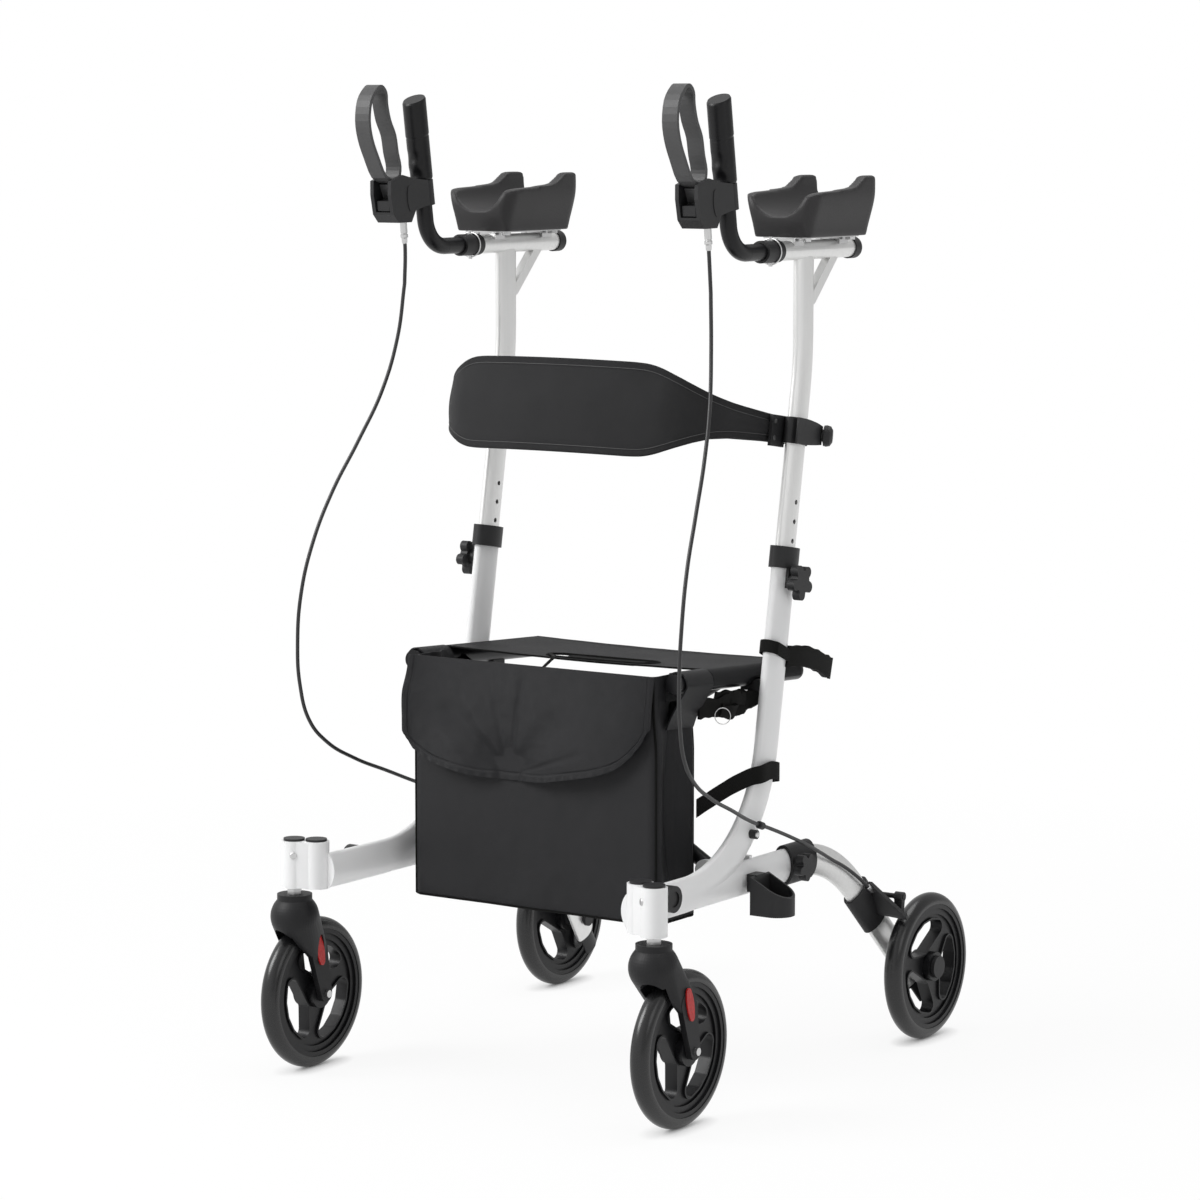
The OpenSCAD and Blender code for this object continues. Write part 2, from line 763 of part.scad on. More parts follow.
// Rear leg: a smaller oval tube clamped in the stub
module leg_path(extra, inset) {
    leg_frame(leg_start_y - extra) linear_extrude(leg_bend_y - leg_start_y + extra + over) tube_section(inset);
    leg_frame(leg_bend_y) rotate([0, 0, -leg_roll]) elbow(leg_bend_r, leg_slope)
        rotate(-leg_roll) tube_section(inset + weld_step);
    leg_foot_frame(-over) linear_extrude(leg_straight + leg_tail + over + extra) tube_section(inset);
}
module rear_leg() {
    color(silver) difference() {
        leg_path(0, inner_inset);
        leg_path(over, inner_inset + inner_wall);
        translate([0, axle_y, wheel_r]) along_x(rear_axle_d + 2 * fit_gap, frame_w);
    }
}
module rear_axle() {
    inner_end = leg_x - tube_w / 2 - rear_cap_h;
    hub_face = rear_x - rear_hub_w / 2 - hub_gap;
    leg_face = leg_x + tube_w / 2 + fit_gap;
    color(steel) translate([0, axle_y, wheel_r]) {
        translate([inner_end, 0, 0]) along_x(rear_axle_d, rear_x + rear_hub_w / 2 + hub_gap + rear_cap_h - inner_end);
        translate([leg_face, 0, 0]) along_x(spacer_d, hub_face - leg_face);
        translate([rear_x + rear_hub_w / 2 + hub_gap, 0, 0]) along_x(rear_cap_d, rear_cap_h);
        translate([inner_end, 0, 0]) along_x(axle_head_d, rear_cap_h);
    }
}

// Brake guard round the rear leg, with a wing over the tyre
module guard_local() {
    leg_foot_frame(guard_from) children();
}
module brake_guard() {
    color(black) difference() {
        union() {
            guard_local() linear_extrude(guard_l) tube_section(inner_inset - guard_wall);
            shoe_frame() {
                hull() for (p = wing_points)
                    translate([p[0], wheel_r + p[1], p[2]]) cube(wing_t);
                translate([shoe_pin_over, wheel_r + shoe_pin_out, leg_out / 2]) cylinder(d = shoe_pin_d,
                    h = shoe_side + shoe_w / 2 + over - leg_out / 2);
            }
        }
        guard_local() translate([0, 0, -guard_l])
            linear_extrude(2 * guard_l + over) tube_section(inner_inset - fit_gap);
        translate([rear_x - tyre_w, axle_y, wheel_r]) along_x(wheel_d + 2 * shoe_gap, tyre_w * 2);
    }
}
// Outline frame at the wheel: first over the leg's line, then out from the axle, extruded outwards
module shoe_frame() {
    translate([frame_x, axle_y, wheel_r]) rotate([-90, 0, 0]) rotate([0, 0, -90]) rotate([0, -leg_slope, 0])
        rotate([-90, 0, 0]) children();
}
module brake_shoe() {
    pin = [shoe_pin_over, wheel_r + shoe_pin_out];
    tip = [shoe_tip_over, wheel_r + shoe_gap + shoe_t / 2];
    color(black) shoe_frame() translate([0, 0, shoe_side - shoe_w / 2]) linear_extrude(shoe_w)
        difference() {
            union() {
                translate(pin) circle(d = shoe_hub_d);
                strip(pin, tip, shoe_t);
            }
            translate(pin) circle(d = shoe_pin_d + 2 * run_gap);
        }
}

// Star knobs that clamp the post and the rear leg
module star_knob(d) {
    face = tube_w / 2 + collar_wall + boss_h + fit_gap;
    translate([face, 0, 0]) rotate([0, 90, 0]) linear_extrude(knob_h) star(d, knob_lobes);
    translate([tube_w / 2 - bore_inset, 0, 0]) along_x(stud_d, face - tube_w / 2 + bore_inset + over);
}
module post_knob() {
    color(black) knob_place() star_knob(knob_d);
}
module rear_knob() {
    color(black) rear_knob_place() star_knob(rear_knob_d);
}

// Casters
module caster_place() {
    translate([caster_x, caster_y, wheel_r]) children();
}
module fork_leg() {
    fall = atan2(fork_mid[1], fork_mid[0]);
    side = [-sin(fall), cos(fall)];
    translate(fork_mid) circle(r = fork_mid_r);
    circle(r = fork_foot_r);
    wide = side * (fork_mid_r - weld_step);
    narrow = side * (fork_foot_r - weld_step);
    polygon([fork_mid + wide, narrow, -narrow, fork_mid - wide]);
}
// Side outlines of the wheel's frame, on the outer face of one fork leg
module fork_side(s, t) {
    caster_place() translate([s * (fork_x + t / 2) - t / 2, 0, 0]) rotate([90, 0, 90]) linear_extrude(t) children();
}
module reflector_place() {
    translate(fork_mid) rotate(atan2(fork_mid[1], fork_mid[0])) children();
}
module caster_fork() {
    stem_place = [stem_x, barrel_y, crown_z];
    outer = fork_x + fork_t;
    color(black) difference() {
        union() {
            hull() {
                translate(stem_place) sphere(r = crown_r, $fn = crown_fn);
                for (s = [-1, 1])
                    fork_side(s, fork_t - fork_melt) translate(fork_mid) circle(r = fork_mid_r - fork_melt, $fn = crown_fn);
            }
            translate(stem_place) cylinder(d = crown_neck_d, h = ring_z - crown_z + ring_h);
            translate([stem_x, barrel_y, ring_z]) cylinder(d = crown_ring_d, h = ring_h);
            for (s = [-1, 1])
                fork_side(s, fork_t) fork_leg();
        }
        caster_place() translate([-fork_x, 0, 0]) along_x(wheel_d + 2 * wheel_room, 2 * fork_x);
        translate([caster_x, barrel_y - 2 * crown_r, crown_z - crown_r]) along_y(2 * (fork_x - fork_melt), 2 * crown_r);
        translate([stem_x, barrel_y, ring_z - stem_d]) cylinder(d = stem_d + 2 * fit_gap, h = ring_h + 2 * stem_d);
        translate([stem_x, barrel_y, ring_z + ring_h]) cylinder(r = crown_r, h = crown_r);
        caster_place() {
            translate([-crown_r - fork_x, 0, 0]) along_x(axle_d + 2 * fit_gap, 2 * (crown_r + fork_x));
            for (s = [-1, 1])
                translate([s * (outer + fit_gap / 2 + crown_r / 2) - crown_r / 2, 0, 0]) rotate([90, 0, 90]) linear_extrude(crown_r)
                    reflector_place() oval(reflector_l + 2 * fit_gap, reflector_w + 2 * fit_gap, reflector_w / 3);
        }
    }
}
module caster_pins() {
    outer = fork_x + fork_t;
    color(steel) {
        translate([stem_x, barrel_y, ring_z - stem_d + fit_gap])
            cylinder(d = stem_d, h = barrel_top - ring_z + stem_d - 2 * fit_gap);
        translate([stem_x, barrel_y, ring_z + ring_h + fit_gap]) cylinder(d = nut_d, h = nut_h, $fn = 6);
        caster_place() {
            translate([-outer - fit_gap, 0, 0]) along_x(axle_d, 2 * outer + 2 * fit_gap);
            for (x = [-outer - fit_gap - bolt_cap_h, outer + fit_gap])
                translate([x, 0, 0]) along_x(bolt_cap_d, bolt_cap_h);
        }
    }
}
module reflectors() {
    color(red) for (s = [-1, 1])
        caster_place() translate([s * (fork_x + fork_t + fit_gap + reflector_t / 2) - reflector_t / 2, 0, 0])
            rotate([90, 0, 90]) linear_extrude(reflector_t)
            reflector_place() oval(reflector_l, reflector_w, reflector_w / 3);
}
// Wheels: a moulded rim with lipped windows between three spokes, and a tyre round it
module tyre() {
    round_r = tyre_t * tyre_round_share;
    rotate([0, 90, 0]) rotate_extrude($fn = 128) difference() {
        union() {
            translate([rim_r + fit_gap, -tyre_w / 2 + bead_w]) square([tyre_t - round_r - fit_gap, tyre_w - 2 * bead_w]);
            translate([wheel_r - tyre_w / 2, 0]) circle(d = tyre_w);
        }
        translate([0, -tyre_w]) square([rim_r + fit_gap, 2 * tyre_w]);
    }
}
module windows(grow) {
    for (i = [0 : spoke_n - 1])
        rotate((i + 0.5) * 360 / spoke_n) hull() {
            for (k = [0 : window_steps])
                rotate(window_half * (2 * k / window_steps - 1)) translate([window_out, 0])
                    circle(r = window_out_r + grow, $fn = window_fn);
            rotate(window_lean) translate([window_in, 0]) circle(r = window_in_r + grow, $fn = window_fn);
        }
}
module ring_wall(outer_r, inner_r, w) {
    translate([0, 0, -w / 2]) difference() {
        cylinder(r = outer_r, h = w, $fn = 128);
        translate([0, 0, -over]) cylinder(r = inner_r, h = w + 2 * over, $fn = 128);
    }
}
module rim(bore_d, hub_len, turn) {
    lip_h = spoke_t + 2 * lip_t;
    rotate([0, 90, 0]) difference() {
        union() {
            ring_wall(rim_r, rim_r - rim_step, rim_w);
            ring_wall(rim_r - rim_step + over, rim_in_r, rim_step_w);
            translate([0, 0, -spoke_t / 2]) cylinder(r = rim_in_r + over, h = spoke_t, $fn = 128);
            rotate(turn) translate([0, 0, -lip_h / 2]) linear_extrude(lip_h) windows(lip_w);
            translate([0, 0, -hub_len / 2]) cylinder(d = hub_d, h = hub_len);
        }
        rotate(turn) translate([0, 0, -hub_len / 2]) linear_extrude(hub_len) windows(0);
        translate([0, 0, -hub_len]) cylinder(d = bore_d + 2 * run_gap, h = 2 * hub_len);
    }
}
module caster_rim() {
    color(black) caster_place() rim(axle_d, hub_w, caster_turn);
}
module caster_tyre() {
    color(charcoal) caster_place() tyre();
}
module rear_rim() {
    color(black) translate([rear_x, axle_y, wheel_r]) rim(rear_axle_d, rear_hub_w, rear_turn);
}
module rear_tyre() {
    color(charcoal) translate([rear_x, axle_y, wheel_r]) tyre();
}

// Upper post: the inner oval tube, its arm tube and a gusset, welded
module post_path(extra, inset) {
    post_frame(post_start_s - extra) linear_extrude(post_straight + extra + over) tube_section(inset);
    post_frame(post_start_s + post_straight) {
        elbow(post_bend_r, post_lean) tube_section(inset + weld_step);
        past_elbow(post_bend_r, post_lean) translate([0, 0, -over])
            linear_extrude(post_upright + over) tube_section(inset);
    }
}
module upper_post() {
    p = [post_top_y + tube_l / 3, arm_tube_z - gusset_fall];
    q = [post_top_y + gusset_reach, arm_tube_z - arm_tube_d / 4];
    color(silver) difference() {
        union() {
            post_path(0, inner_inset);
            translate([frame_x, arm_front_y, arm_tube_z]) along_y(arm_tube_d, arm_rear_y - arm_front_y);
            translate([frame_x - gusset_t / 2, 0, 0]) rotate([90, 0, 90]) linear_extrude(gusset_t) strip(p, q, gusset_w);
        }
        post_path(over, inner_inset + inner_wall);
        translate([frame_x, arm_front_y - over, arm_tube_z])
            along_y(handle_d + 2 * fit_gap, arm_rear_y - arm_front_y + 2 * over);
        for (i = [0 : hole_n - 1])
            post_frame(first_hole_s + (visible_holes - 1 - i) * hole_pitch) rotate([0, 0, -90])
                translate([-tube_w, 0, 0]) along_x(hole_d, 2 * tube_w);
        snap_bore();
    }
}
module snap_place() {
    translate([frame_x, arm_front_y + pin_d, arm_tube_z]) children();
}
module snap_bore() {
    snap_place() cylinder(d = pin_d + 2 * fit_gap, h = 3 * nose_d, center = true);
}
// Plastic fittings of the upper post: nose collar, tail cap, strap clip and its stud
module post_trim() {
    clip_inset = inner_inset - fit_gap;
    color(black) {
        difference() {
            translate([frame_x, arm_front_y - nose_front, arm_tube_z]) along_y(nose_d, nose_l);
            translate([frame_x, arm_front_y - nose_front - over, arm_tube_z])
                along_y(handle_d + 2 * slide_gap, nose_l + 2 * over);
            translate([frame_x, arm_front_y - fit_gap, arm_tube_z]) along_y(arm_tube_d + 2 * fit_gap, nose_l);
            snap_place() rotate([90, 0, 0]) difference() {
                cylinder(d = nose_d + 2 * over, h = groove_w, center = true);
                cylinder(d = groove_d, h = groove_w + 2 * over, center = true);
            }
            snap_bore();
        }
        difference() {
            translate([frame_x, arm_rear_y - tail_lap, arm_tube_z]) along_y(tail_d, tail_l);
            translate([frame_x, arm_rear_y - tail_lap - over, arm_tube_z])
                along_y(arm_tube_d + 2 * fit_gap, tail_lap + over + fit_gap);
        }
        difference() {
            union() {
                post_frame(strap_s - clip_h / 2) linear_extrude(clip_h) tube_section(clip_inset - clip_t);
                post_frame(strap_s) translate([tube_l / 2 - inner_inset, 0, 0])
                    along_x(knob_stub_d, clip_t + knob_stub_l);
            }
            post_frame(strap_s - clip_h / 2 - over) linear_extrude(clip_h + 2 * over) tube_section(clip_inset);
        }
    }
}
// Steel plate and saddles that carry the forearm pad
module arm_bracket() {
    color(steel) {
        translate([frame_x - plate_w / 2, pad_front_y + plate_margin, plate_z])
            cube([plate_w, pad_l - 2 * plate_margin, plate_t]);
        for (share = saddle_shares)
            translate([frame_x, pad_front_y + share * pad_l, arm_tube_z]) {
                difference() {
                    translate([-saddle_w / 2, -saddle_l / 2, arm_tube_d / 4])
                        cube([saddle_w, saddle_l, plate_z - arm_tube_z - arm_tube_d / 4]);
                    translate([0, -saddle_l, 0]) along_y(arm_tube_d + 2 * fit_gap, 2 * saddle_l);
                }
                for (s = [-1, 1])
                    translate([s * (plate_w / 2 - bolt_head_d / 2), 0, plate_z - arm_tube_z - bolt_head_h])
                        cylinder(d = bolt_head_d, h = bolt_head_h, $fn = 6);
            }
    }
}
// Moulded forearm pad: trough in front view, ears in side view, round corners in plan
module arm_pad() {
    top = pad_h + pad_ear;
    trough_z = pad_h - pad_trough + trough_r;
    color(charcoal) translate([frame_x, pad_front_y, pad_z]) intersection() {
        translate([0, pad_l, 0]) rotate([90, 0, 0]) linear_extrude(pad_l) difference() {
            polygon([[-pad_w / 2 + pad_draft, 0], [pad_w / 2 - pad_draft, 0], [pad_w / 2, pad_h / 2],
                [pad_w / 2, top], [-pad_w / 2, top], [-pad_w / 2, pad_h / 2]]);
            translate([0, trough_z]) circle(r = trough_r);
            translate([-trough_r, trough_z]) square([2 * trough_r, top]);
        }
        translate([-pad_w / 2, 0, 0]) rotate([90, 0, 90]) linear_extrude(pad_w)
            polygon([for (p = pad_side_shares) [p[0] * pad_l, p[1] * top]]);
        linear_extrude(top) {
            translate([-pad_w / 2, pad_round]) square([pad_w, pad_l - 2 * pad_round]);
            translate([-pad_w / 2 + pad_round, 0]) square([pad_w - 2 * pad_round, pad_l]);
            for (x = [-1, 1], y = [pad_round, pad_l - pad_round])
                translate([x * (pad_w / 2 - pad_round), y]) circle(r = pad_round);
        }
    }
}
// Snap pin through the arm tube, with its wire ring
module snap_pin() {
    color(steel) snap_place() {
        cylinder(d = pin_d, h = 2 * pin_reach, center = true);
        rotate([90, 0, 0]) rotate_extrude() translate([ring_d / 2, 0]) circle(d = ring_wire);
    }
}

// Handle: the bent tube, its grip, the brake housing and the looped lever
module handle_frame(t) {
    translate([frame_x, handle_y, arm_tube_z]) rotate([handle_lean, 0, 0]) translate([0, 0, t]) children();
}
module handle_path(d, extra) {
    rear = arm_front_y + handle_plug;
    run = rear - handle_y - handle_bend_back;
    top = grip_from + grip_l - grip_end - fit_gap;
    translate([frame_x, rear - run - over, arm_tube_z]) along_y(d, run + over + extra);
    translate([frame_x, rear - run, arm_tube_z]) rotate([90, 0, 0]) rotate([0, 0, -90])
        elbow(handle_bend_r, handle_turn) circle(d = d - 2 * weld_step);
    handle_frame(handle_bend_back - over) cylinder(d = d, h = top - handle_bend_back + over + extra);
}
module handle_tube() {
    color(black) difference() {
        handle_path(handle_d, 0);
        handle_path(handle_d - 2 * handle_wall, over);
        snap_place() translate([-pin_d / 2 - slide_gap, -handle_travel - pin_d, -handle_d])
            cube([pin_d + 2 * slide_gap, 2 * handle_travel + 2 * pin_d, 2 * handle_d]);
    }
}
module hand_grip() {
    color(black) handle_frame(grip_from) rotate_extrude() difference() {
        union() {
            square([grip_d / 2 - grip_end, grip_l]);
            square([grip_d / 2, grip_l - grip_end]);
            translate([grip_d / 2 - grip_end, grip_l - grip_end]) circle(r = grip_end);
        }
        translate([0, -over]) square([handle_d / 2 + fit_gap, grip_l - grip_end + over]);
    }
}
// Side outlines stand in this frame: first forward from the handle, then up along it
module handle_side() {
    handle_frame(0) rotate([90, 0, -90]) children();
}
module brake_housing() {
    color(black) {
        difference() {
            union() {
                handle_side() linear_extrude(housing_w, center = true)
                    polygon([for (p = housing_shares) [p[0] * housing_reach, housing_from + p[1] * housing_h]]);
                handle_side() linear_extrude(housing_w + 2 * boss_t, center = true)
                    translate([boss_out, boss_up]) rotate(90) oval(boss_l, boss_w, boss_w / 3);
                handle_frame(clamp_from) cylinder(d = handle_d + 2 * clamp_wall, h = grip_from - clamp_from - clamp_gap);
            }
            handle_frame(0) cylinder(d = handle_d + 2 * fit_gap, h = grip_from + over);
            handle_frame(grip_from - clamp_gap) cylinder(d = grip_d + 2 * clamp_gap, h = grip_l);
            handle_side() linear_extrude(lever_slot, center = true)
                translate([pivot_reach - lever_hub_d, pivot_up - lever_hub_d / 2 - over])
                square([housing_reach, housing_reach]);
        }
        handle_side() translate([pivot_reach, pivot_up, 0])
            cylinder(d = lever_pin_d, h = housing_w - over, center = true);
    }
}
module brake_lever() {
    points = [for (p = lever_shares) [pivot_reach + p[0] * lever_spread, pivot_up + p[1] * lever_rise]];
    line = [for (i = [0 : len(points) - 2], k = [0 : loop_steps - 1]) smooth(points, i, k / loop_steps)];
    stem = points[0] - [pivot_reach, pivot_up];
    color(black) handle_side() linear_extrude(lever_w, center = true) difference() {
        union() {
            difference() {
                polygon(beside(line, -lever_t / 2));
                polygon(beside(line, lever_t / 2));
            }
            translate([pivot_reach, pivot_up]) circle(d = lever_hub_d);
            translate([pivot_reach, pivot_up]) rotate(atan2(stem[1], stem[0]))
                translate([0, -lever_stem_t / 2]) square([norm(stem), lever_stem_t]);
        }
        translate([pivot_reach, pivot_up]) circle(d = lever_pin_d + 2 * run_gap);
    }
}

// Brake cable: one round tube swept along its route, as a closed skin over rings of points
module skin(points, sides) {
    n = len(points) / sides;
    walls = [for (i = [0 : n - 2], k = [0 : sides - 1])
        let (m = (k + 1) % sides, p = i * sides)
        each [[p + k, p + sides + k, p + sides + m], [p + k, p + sides + m, p + m]]];
    ends = [for (k = [1 : sides - 2])
        each [[0, k, k + 1], [(n - 1) * sides, (n - 1) * sides + k + 1, (n - 1) * sides + k]]];
    polyhedron(points, concat(walls, ends));
}
module brake_cable() {
    last = len(cable_route) - 1;
    line = concat([for (i = [0 : last - 1], k = [0 : cable_steps - 1]) smooth(cable_route, i, k / cable_steps)],
        [cable_route[last]]);
    color(black) skin([for (i = [0 : len(line) - 1])
        let (u = heading(line, i), v = cross(u, [1, 0, 0]), a = v / norm(v), b = cross(u, a))
        for (k = [0 : cable_sides - 1])
            line[i] + cable_d / 2 * (cos(360 * k / cable_sides) * a + sin(360 * k / cable_sides) * b)], cable_sides);
}

// Seat frame: one seat rail and the cross bar that carries it from the far side
module seat_frame(step, has_pin) {
    rail_l = (rail_rear_y - rail_front_y) / cos(seat_slope);
    sleeve_l = ear_span - 2 * slide_gap;
    pin_l = 2 * bar_step + bar_d + 2 * centre_head_h + 2 * fit_gap;
    color(black) {
        difference() {
            union() {
                rail_place(rail_front_y) cylinder(d = seat_rail_d, h = rail_l);
                translate([-pivot_x, cross_y + step, pivot_z]) rotate([0, 90 - bar_slope, 0])
                    cylinder(d = bar_d, h = bar_len - bar_stop);
                translate([-pivot_x, cross_y - sleeve_l / 2, pivot_z]) along_y(sleeve_d, sleeve_l);
            }
            rail_place(rail_front_y) translate([0, 0, rail_cap_l])
                cylinder(d = seat_rail_d - 2 * rail_wall, h = rail_l - 2 * rail_cap_l);
            translate([-pivot_x, cross_y - ear_span, pivot_z]) along_y(pivot_pin_d + 2 * run_gap, 2 * ear_span);
            translate([0, cross_y - ear_span, centre_z])
                along_y(centre_pin_d + 2 * (has_pin ? fit_gap : run_gap), 2 * ear_span);
        }
        if (has_pin) translate([0, cross_y - pin_l / 2, centre_z]) {
            along_y(centre_pin_d, pin_l);
            for (y = [0, pin_l - centre_head_h])
                translate([0, y, 0]) along_y(centre_head_d, centre_head_h);
        }
    }
}
// Seat sling: a sheet that goes over both rails
module seat_sling() {
    r = seat_rail_d / 2 + soft_gap;
    l = (sling_rear_y - sling_front_y) / cos(seat_slope);
    color(cloth) rail_place(sling_front_y) {
        translate([-rail_span, -r - sling_t, 0]) cube([rail_span, sling_t, l]);
        for (s = [0, 1])
            translate([-s * rail_span, 0, 0]) mirror([s, 0, 0]) intersection() {
                difference() {
                    cylinder(r = r + sling_t, h = l);
                    translate([0, 0, -over]) cylinder(r = r, h = l + 2 * over);
                }
                translate([-over, -2 * r, 0]) cube([2 * r, 2 * r, l]);
            }
    }
}

// Bag: an open cloth box hung by loops from both rails, and its flap
module bag_outline(inset) {
    w = bag_w - 2 * inset;
    d = bag_d - 2 * inset;
    r = bag_corner_r - inset;
    translate([0, bag_front_y + inset]) {
        translate([-w / 2 + r, 0]) square([w - 2 * r, d]);
        translate([-w / 2, r]) square([w, d - 2 * r]);
        for (x = [-1, 1], y = [r, d - r])
            translate([x * (w / 2 - r), y]) circle(r = r);
    }
}
module bag() {
    r = seat_rail_d / 2 + soft_gap;
    color(cloth) difference() {
        union() {
            translate([0, 0, bag_z]) linear_extrude(bag_top_z - bag_z) bag_outline(0);
            for (s = [0, 1])
                mirror([s, 0, 0]) rail_place(loop_y - loop_w / 2) {
                    cylinder(r = r + loop_t, h = loop_w);
                    translate([bag_w / 2 - rail_x - loop_t, -loop_t, 0])
                        cube([rail_x - bag_w / 2, 2 * loop_t, loop_w]);
                }
        }
        translate([0, 0, bag_z + cloth_t]) linear_extrude(bag_top_z) bag_outline(cloth_t);
        translate([-bag_w / 2 - over, loop_y + loop_w, bag_top_z - bag_dip])
            cube([bag_w + 2 * over, bag_d, bag_dip + over]);
        for (s = [0, 1])
            mirror([s, 0, 0]) rail_place(rail_front_y - over) cylinder(r = r, h = rail_rear_y - rail_front_y);
    }
}
module bag_flap() {
    drop = flap_l - flap_corner_r;
    color(cloth) translate([0, bag_front_y - soft_gap, bag_top_z]) rotate([90, 0, 0]) linear_extrude(cloth_t)
        intersection() {
            union() {
                translate([-flap_w / 2, -drop]) square([flap_w, drop]);
                translate([-flap_w / 2 + flap_corner_r, -flap_l]) square([flap_w - 2 * flap_corner_r, flap_l]);
                for (x = [-1, 1])
                    translate([x * (flap_w / 2 - flap_corner_r), -drop]) circle(r = flap_corner_r);
            }
            translate([0, flap_arc_r - flap_l]) circle(r = flap_arc_r, $fn = 256);
        }
}

// Backrest strap: a padded band that runs forward from the posts and bows across the front
function strap_height(x) =
    let (t = (x - strap_wide / 2) / (strap_x * strap_taper_share - strap_wide / 2), e = min(max(t, 0), 1))
    strap_h + (strap_end_h - strap_h) * e * e * (3 - 2 * e);
module backrest_strap() {
    color(cloth) translate([0, post_foot_y, rail_z]) rotate([-post_lean, 0, 0]) translate([0, 0, strap_s])
        skin([for (i = [0 : len(strap_line) - 1])
            let (u = heading(strap_line, i), c = strap_line[i], h = strap_height(abs(c[0])))
            for (p = strap_shares)
                [c[0] - p[0] * strap_t * u[1], c[1] + p[0] * strap_t * u[0], p[1] * h]], len(strap_shares));
}

// Cane holder on the left: a sloped cup on the rail and a tie round the post
module cup_outline(inset) {
    r = cup_w / 2 - inset;
    translate([inset, -r]) square([cup_l - cup_w / 2 - inset, 2 * r]);
    translate([cup_l - cup_w / 2, 0]) circle(r = r);
}
module cane_cup() {
    face = frame_x + tube_w / 2;
    color(black) {
        translate([face + cup_arm, cup_y, cup_z]) difference() {
            linear_extrude(cup_h) cup_outline(0);
            translate([0, 0, cup_wall]) linear_extrude(cup_h) cup_outline(cup_wall);
            translate([0, 0, cup_h]) rotate([0, atan2(cup_fall, cup_l), 0])
                translate([-cup_l, -cup_w, 0]) cube([3 * cup_l, 2 * cup_w, cup_h]);
        }
        translate([face + fit_gap, cup_y - cup_w / 4, rail_z - cup_w / 3])
            cube([cup_arm + cup_wall - fit_gap, cup_w / 2, cup_w / 2]);
    }
}
module tie_strap() {
    color(cloth) post_frame(tie_s) difference() {
        union() {
            linear_extrude(tie_h) tube_section(-soft_gap - tie_t);
            translate([tube_l / 2, -tie_t, 0]) cube([tie_tail, 2 * tie_t, tie_h]);
        }
        translate([0, 0, -over]) linear_extrude(tie_h + 2 * over) tube_section(-soft_gap);
    }
}

left() side_frame();  // left_side_frame
left() frame_trim();  // left_frame_trim
left() seat_cradle();  // left_seat_cradle
left() rear_leg();  // left_rear_leg
left() brake_guard();  // left_brake_guard
left() rear_axle();  // left_rear_axle
left() post_knob();  // left_post_knob
left() rear_knob();  // left_rear_knob
left() caster_fork();  // left_caster_fork
left() caster_pins();  // left_caster_pins
left() reflectors();  // left_reflectors
left() caster_rim();  // left_caster_rim
left() caster_tyre();  // left_caster_tyre
left() rear_rim();  // left_rear_rim
left() rear_tyre();  // left_rear_tyre
left() brake_shoe();  // left_brake_shoe
left() upper_post();  // left_upper_post
left() post_trim();  // left_post_trim
left() arm_bracket();  // left_arm_bracket
left() arm_pad();  // left_arm_pad
left() snap_pin();  // left_snap_pin
left() handle_tube();  // left_handle_tube
left() hand_grip();  // left_hand_grip
left() brake_housing();  // left_brake_housing
left() brake_lever();  // left_brake_lever
left() brake_cable();  // left_brake_cable
left() seat_frame(bar_step, false);  // left_seat_frame
right() side_frame();  // right_side_frame
right() frame_trim();  // right_frame_trim
right() seat_cradle();  // right_seat_cradle
right() rear_leg();  // right_rear_leg
right() brake_guard();  // right_brake_guard
right() rear_axle();  // right_rear_axle
right() post_knob();  // right_post_knob
right() rear_knob();  // right_rear_knob
right() caster_fork();  // right_caster_fork
right() caster_pins();  // right_caster_pins
right() reflectors();  // right_reflectors
right() caster_rim();  // right_caster_rim
right() caster_tyre();  // right_caster_tyre
right() rear_rim();  // right_rear_rim
right() rear_tyre();  // right_rear_tyre
right() brake_shoe();  // right_brake_shoe
right() upper_post();  // right_upper_post
right() post_trim();  // right_post_trim
right() arm_bracket();  // right_arm_bracket
right() arm_pad();  // right_arm_pad
right() snap_pin();  // right_snap_pin
right() handle_tube();  // right_handle_tube
right() hand_grip();  // right_hand_grip
right() brake_housing();  // right_brake_housing
right() brake_lever();  // right_brake_lever
right() brake_cable();  // right_brake_cable
right() seat_frame(-bar_step, true);  // right_seat_frame
seat_sling();
bag();
bag_flap();
backrest_strap();
cane_cup();
tie_strap();
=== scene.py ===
# %% [markdown]
# An upright walker, dressed for its picture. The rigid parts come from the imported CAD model, and this
# lesson adds what cloth, foam, webbing and wire look like. Every length is in metres, in the CAD's own
# frame: +Z is up, -Y is the way it travels and +X is the user's left.

# %% Load the frame
import json
import math

import bpy
import numpy as np
from mathutils import Matrix, Vector, noise

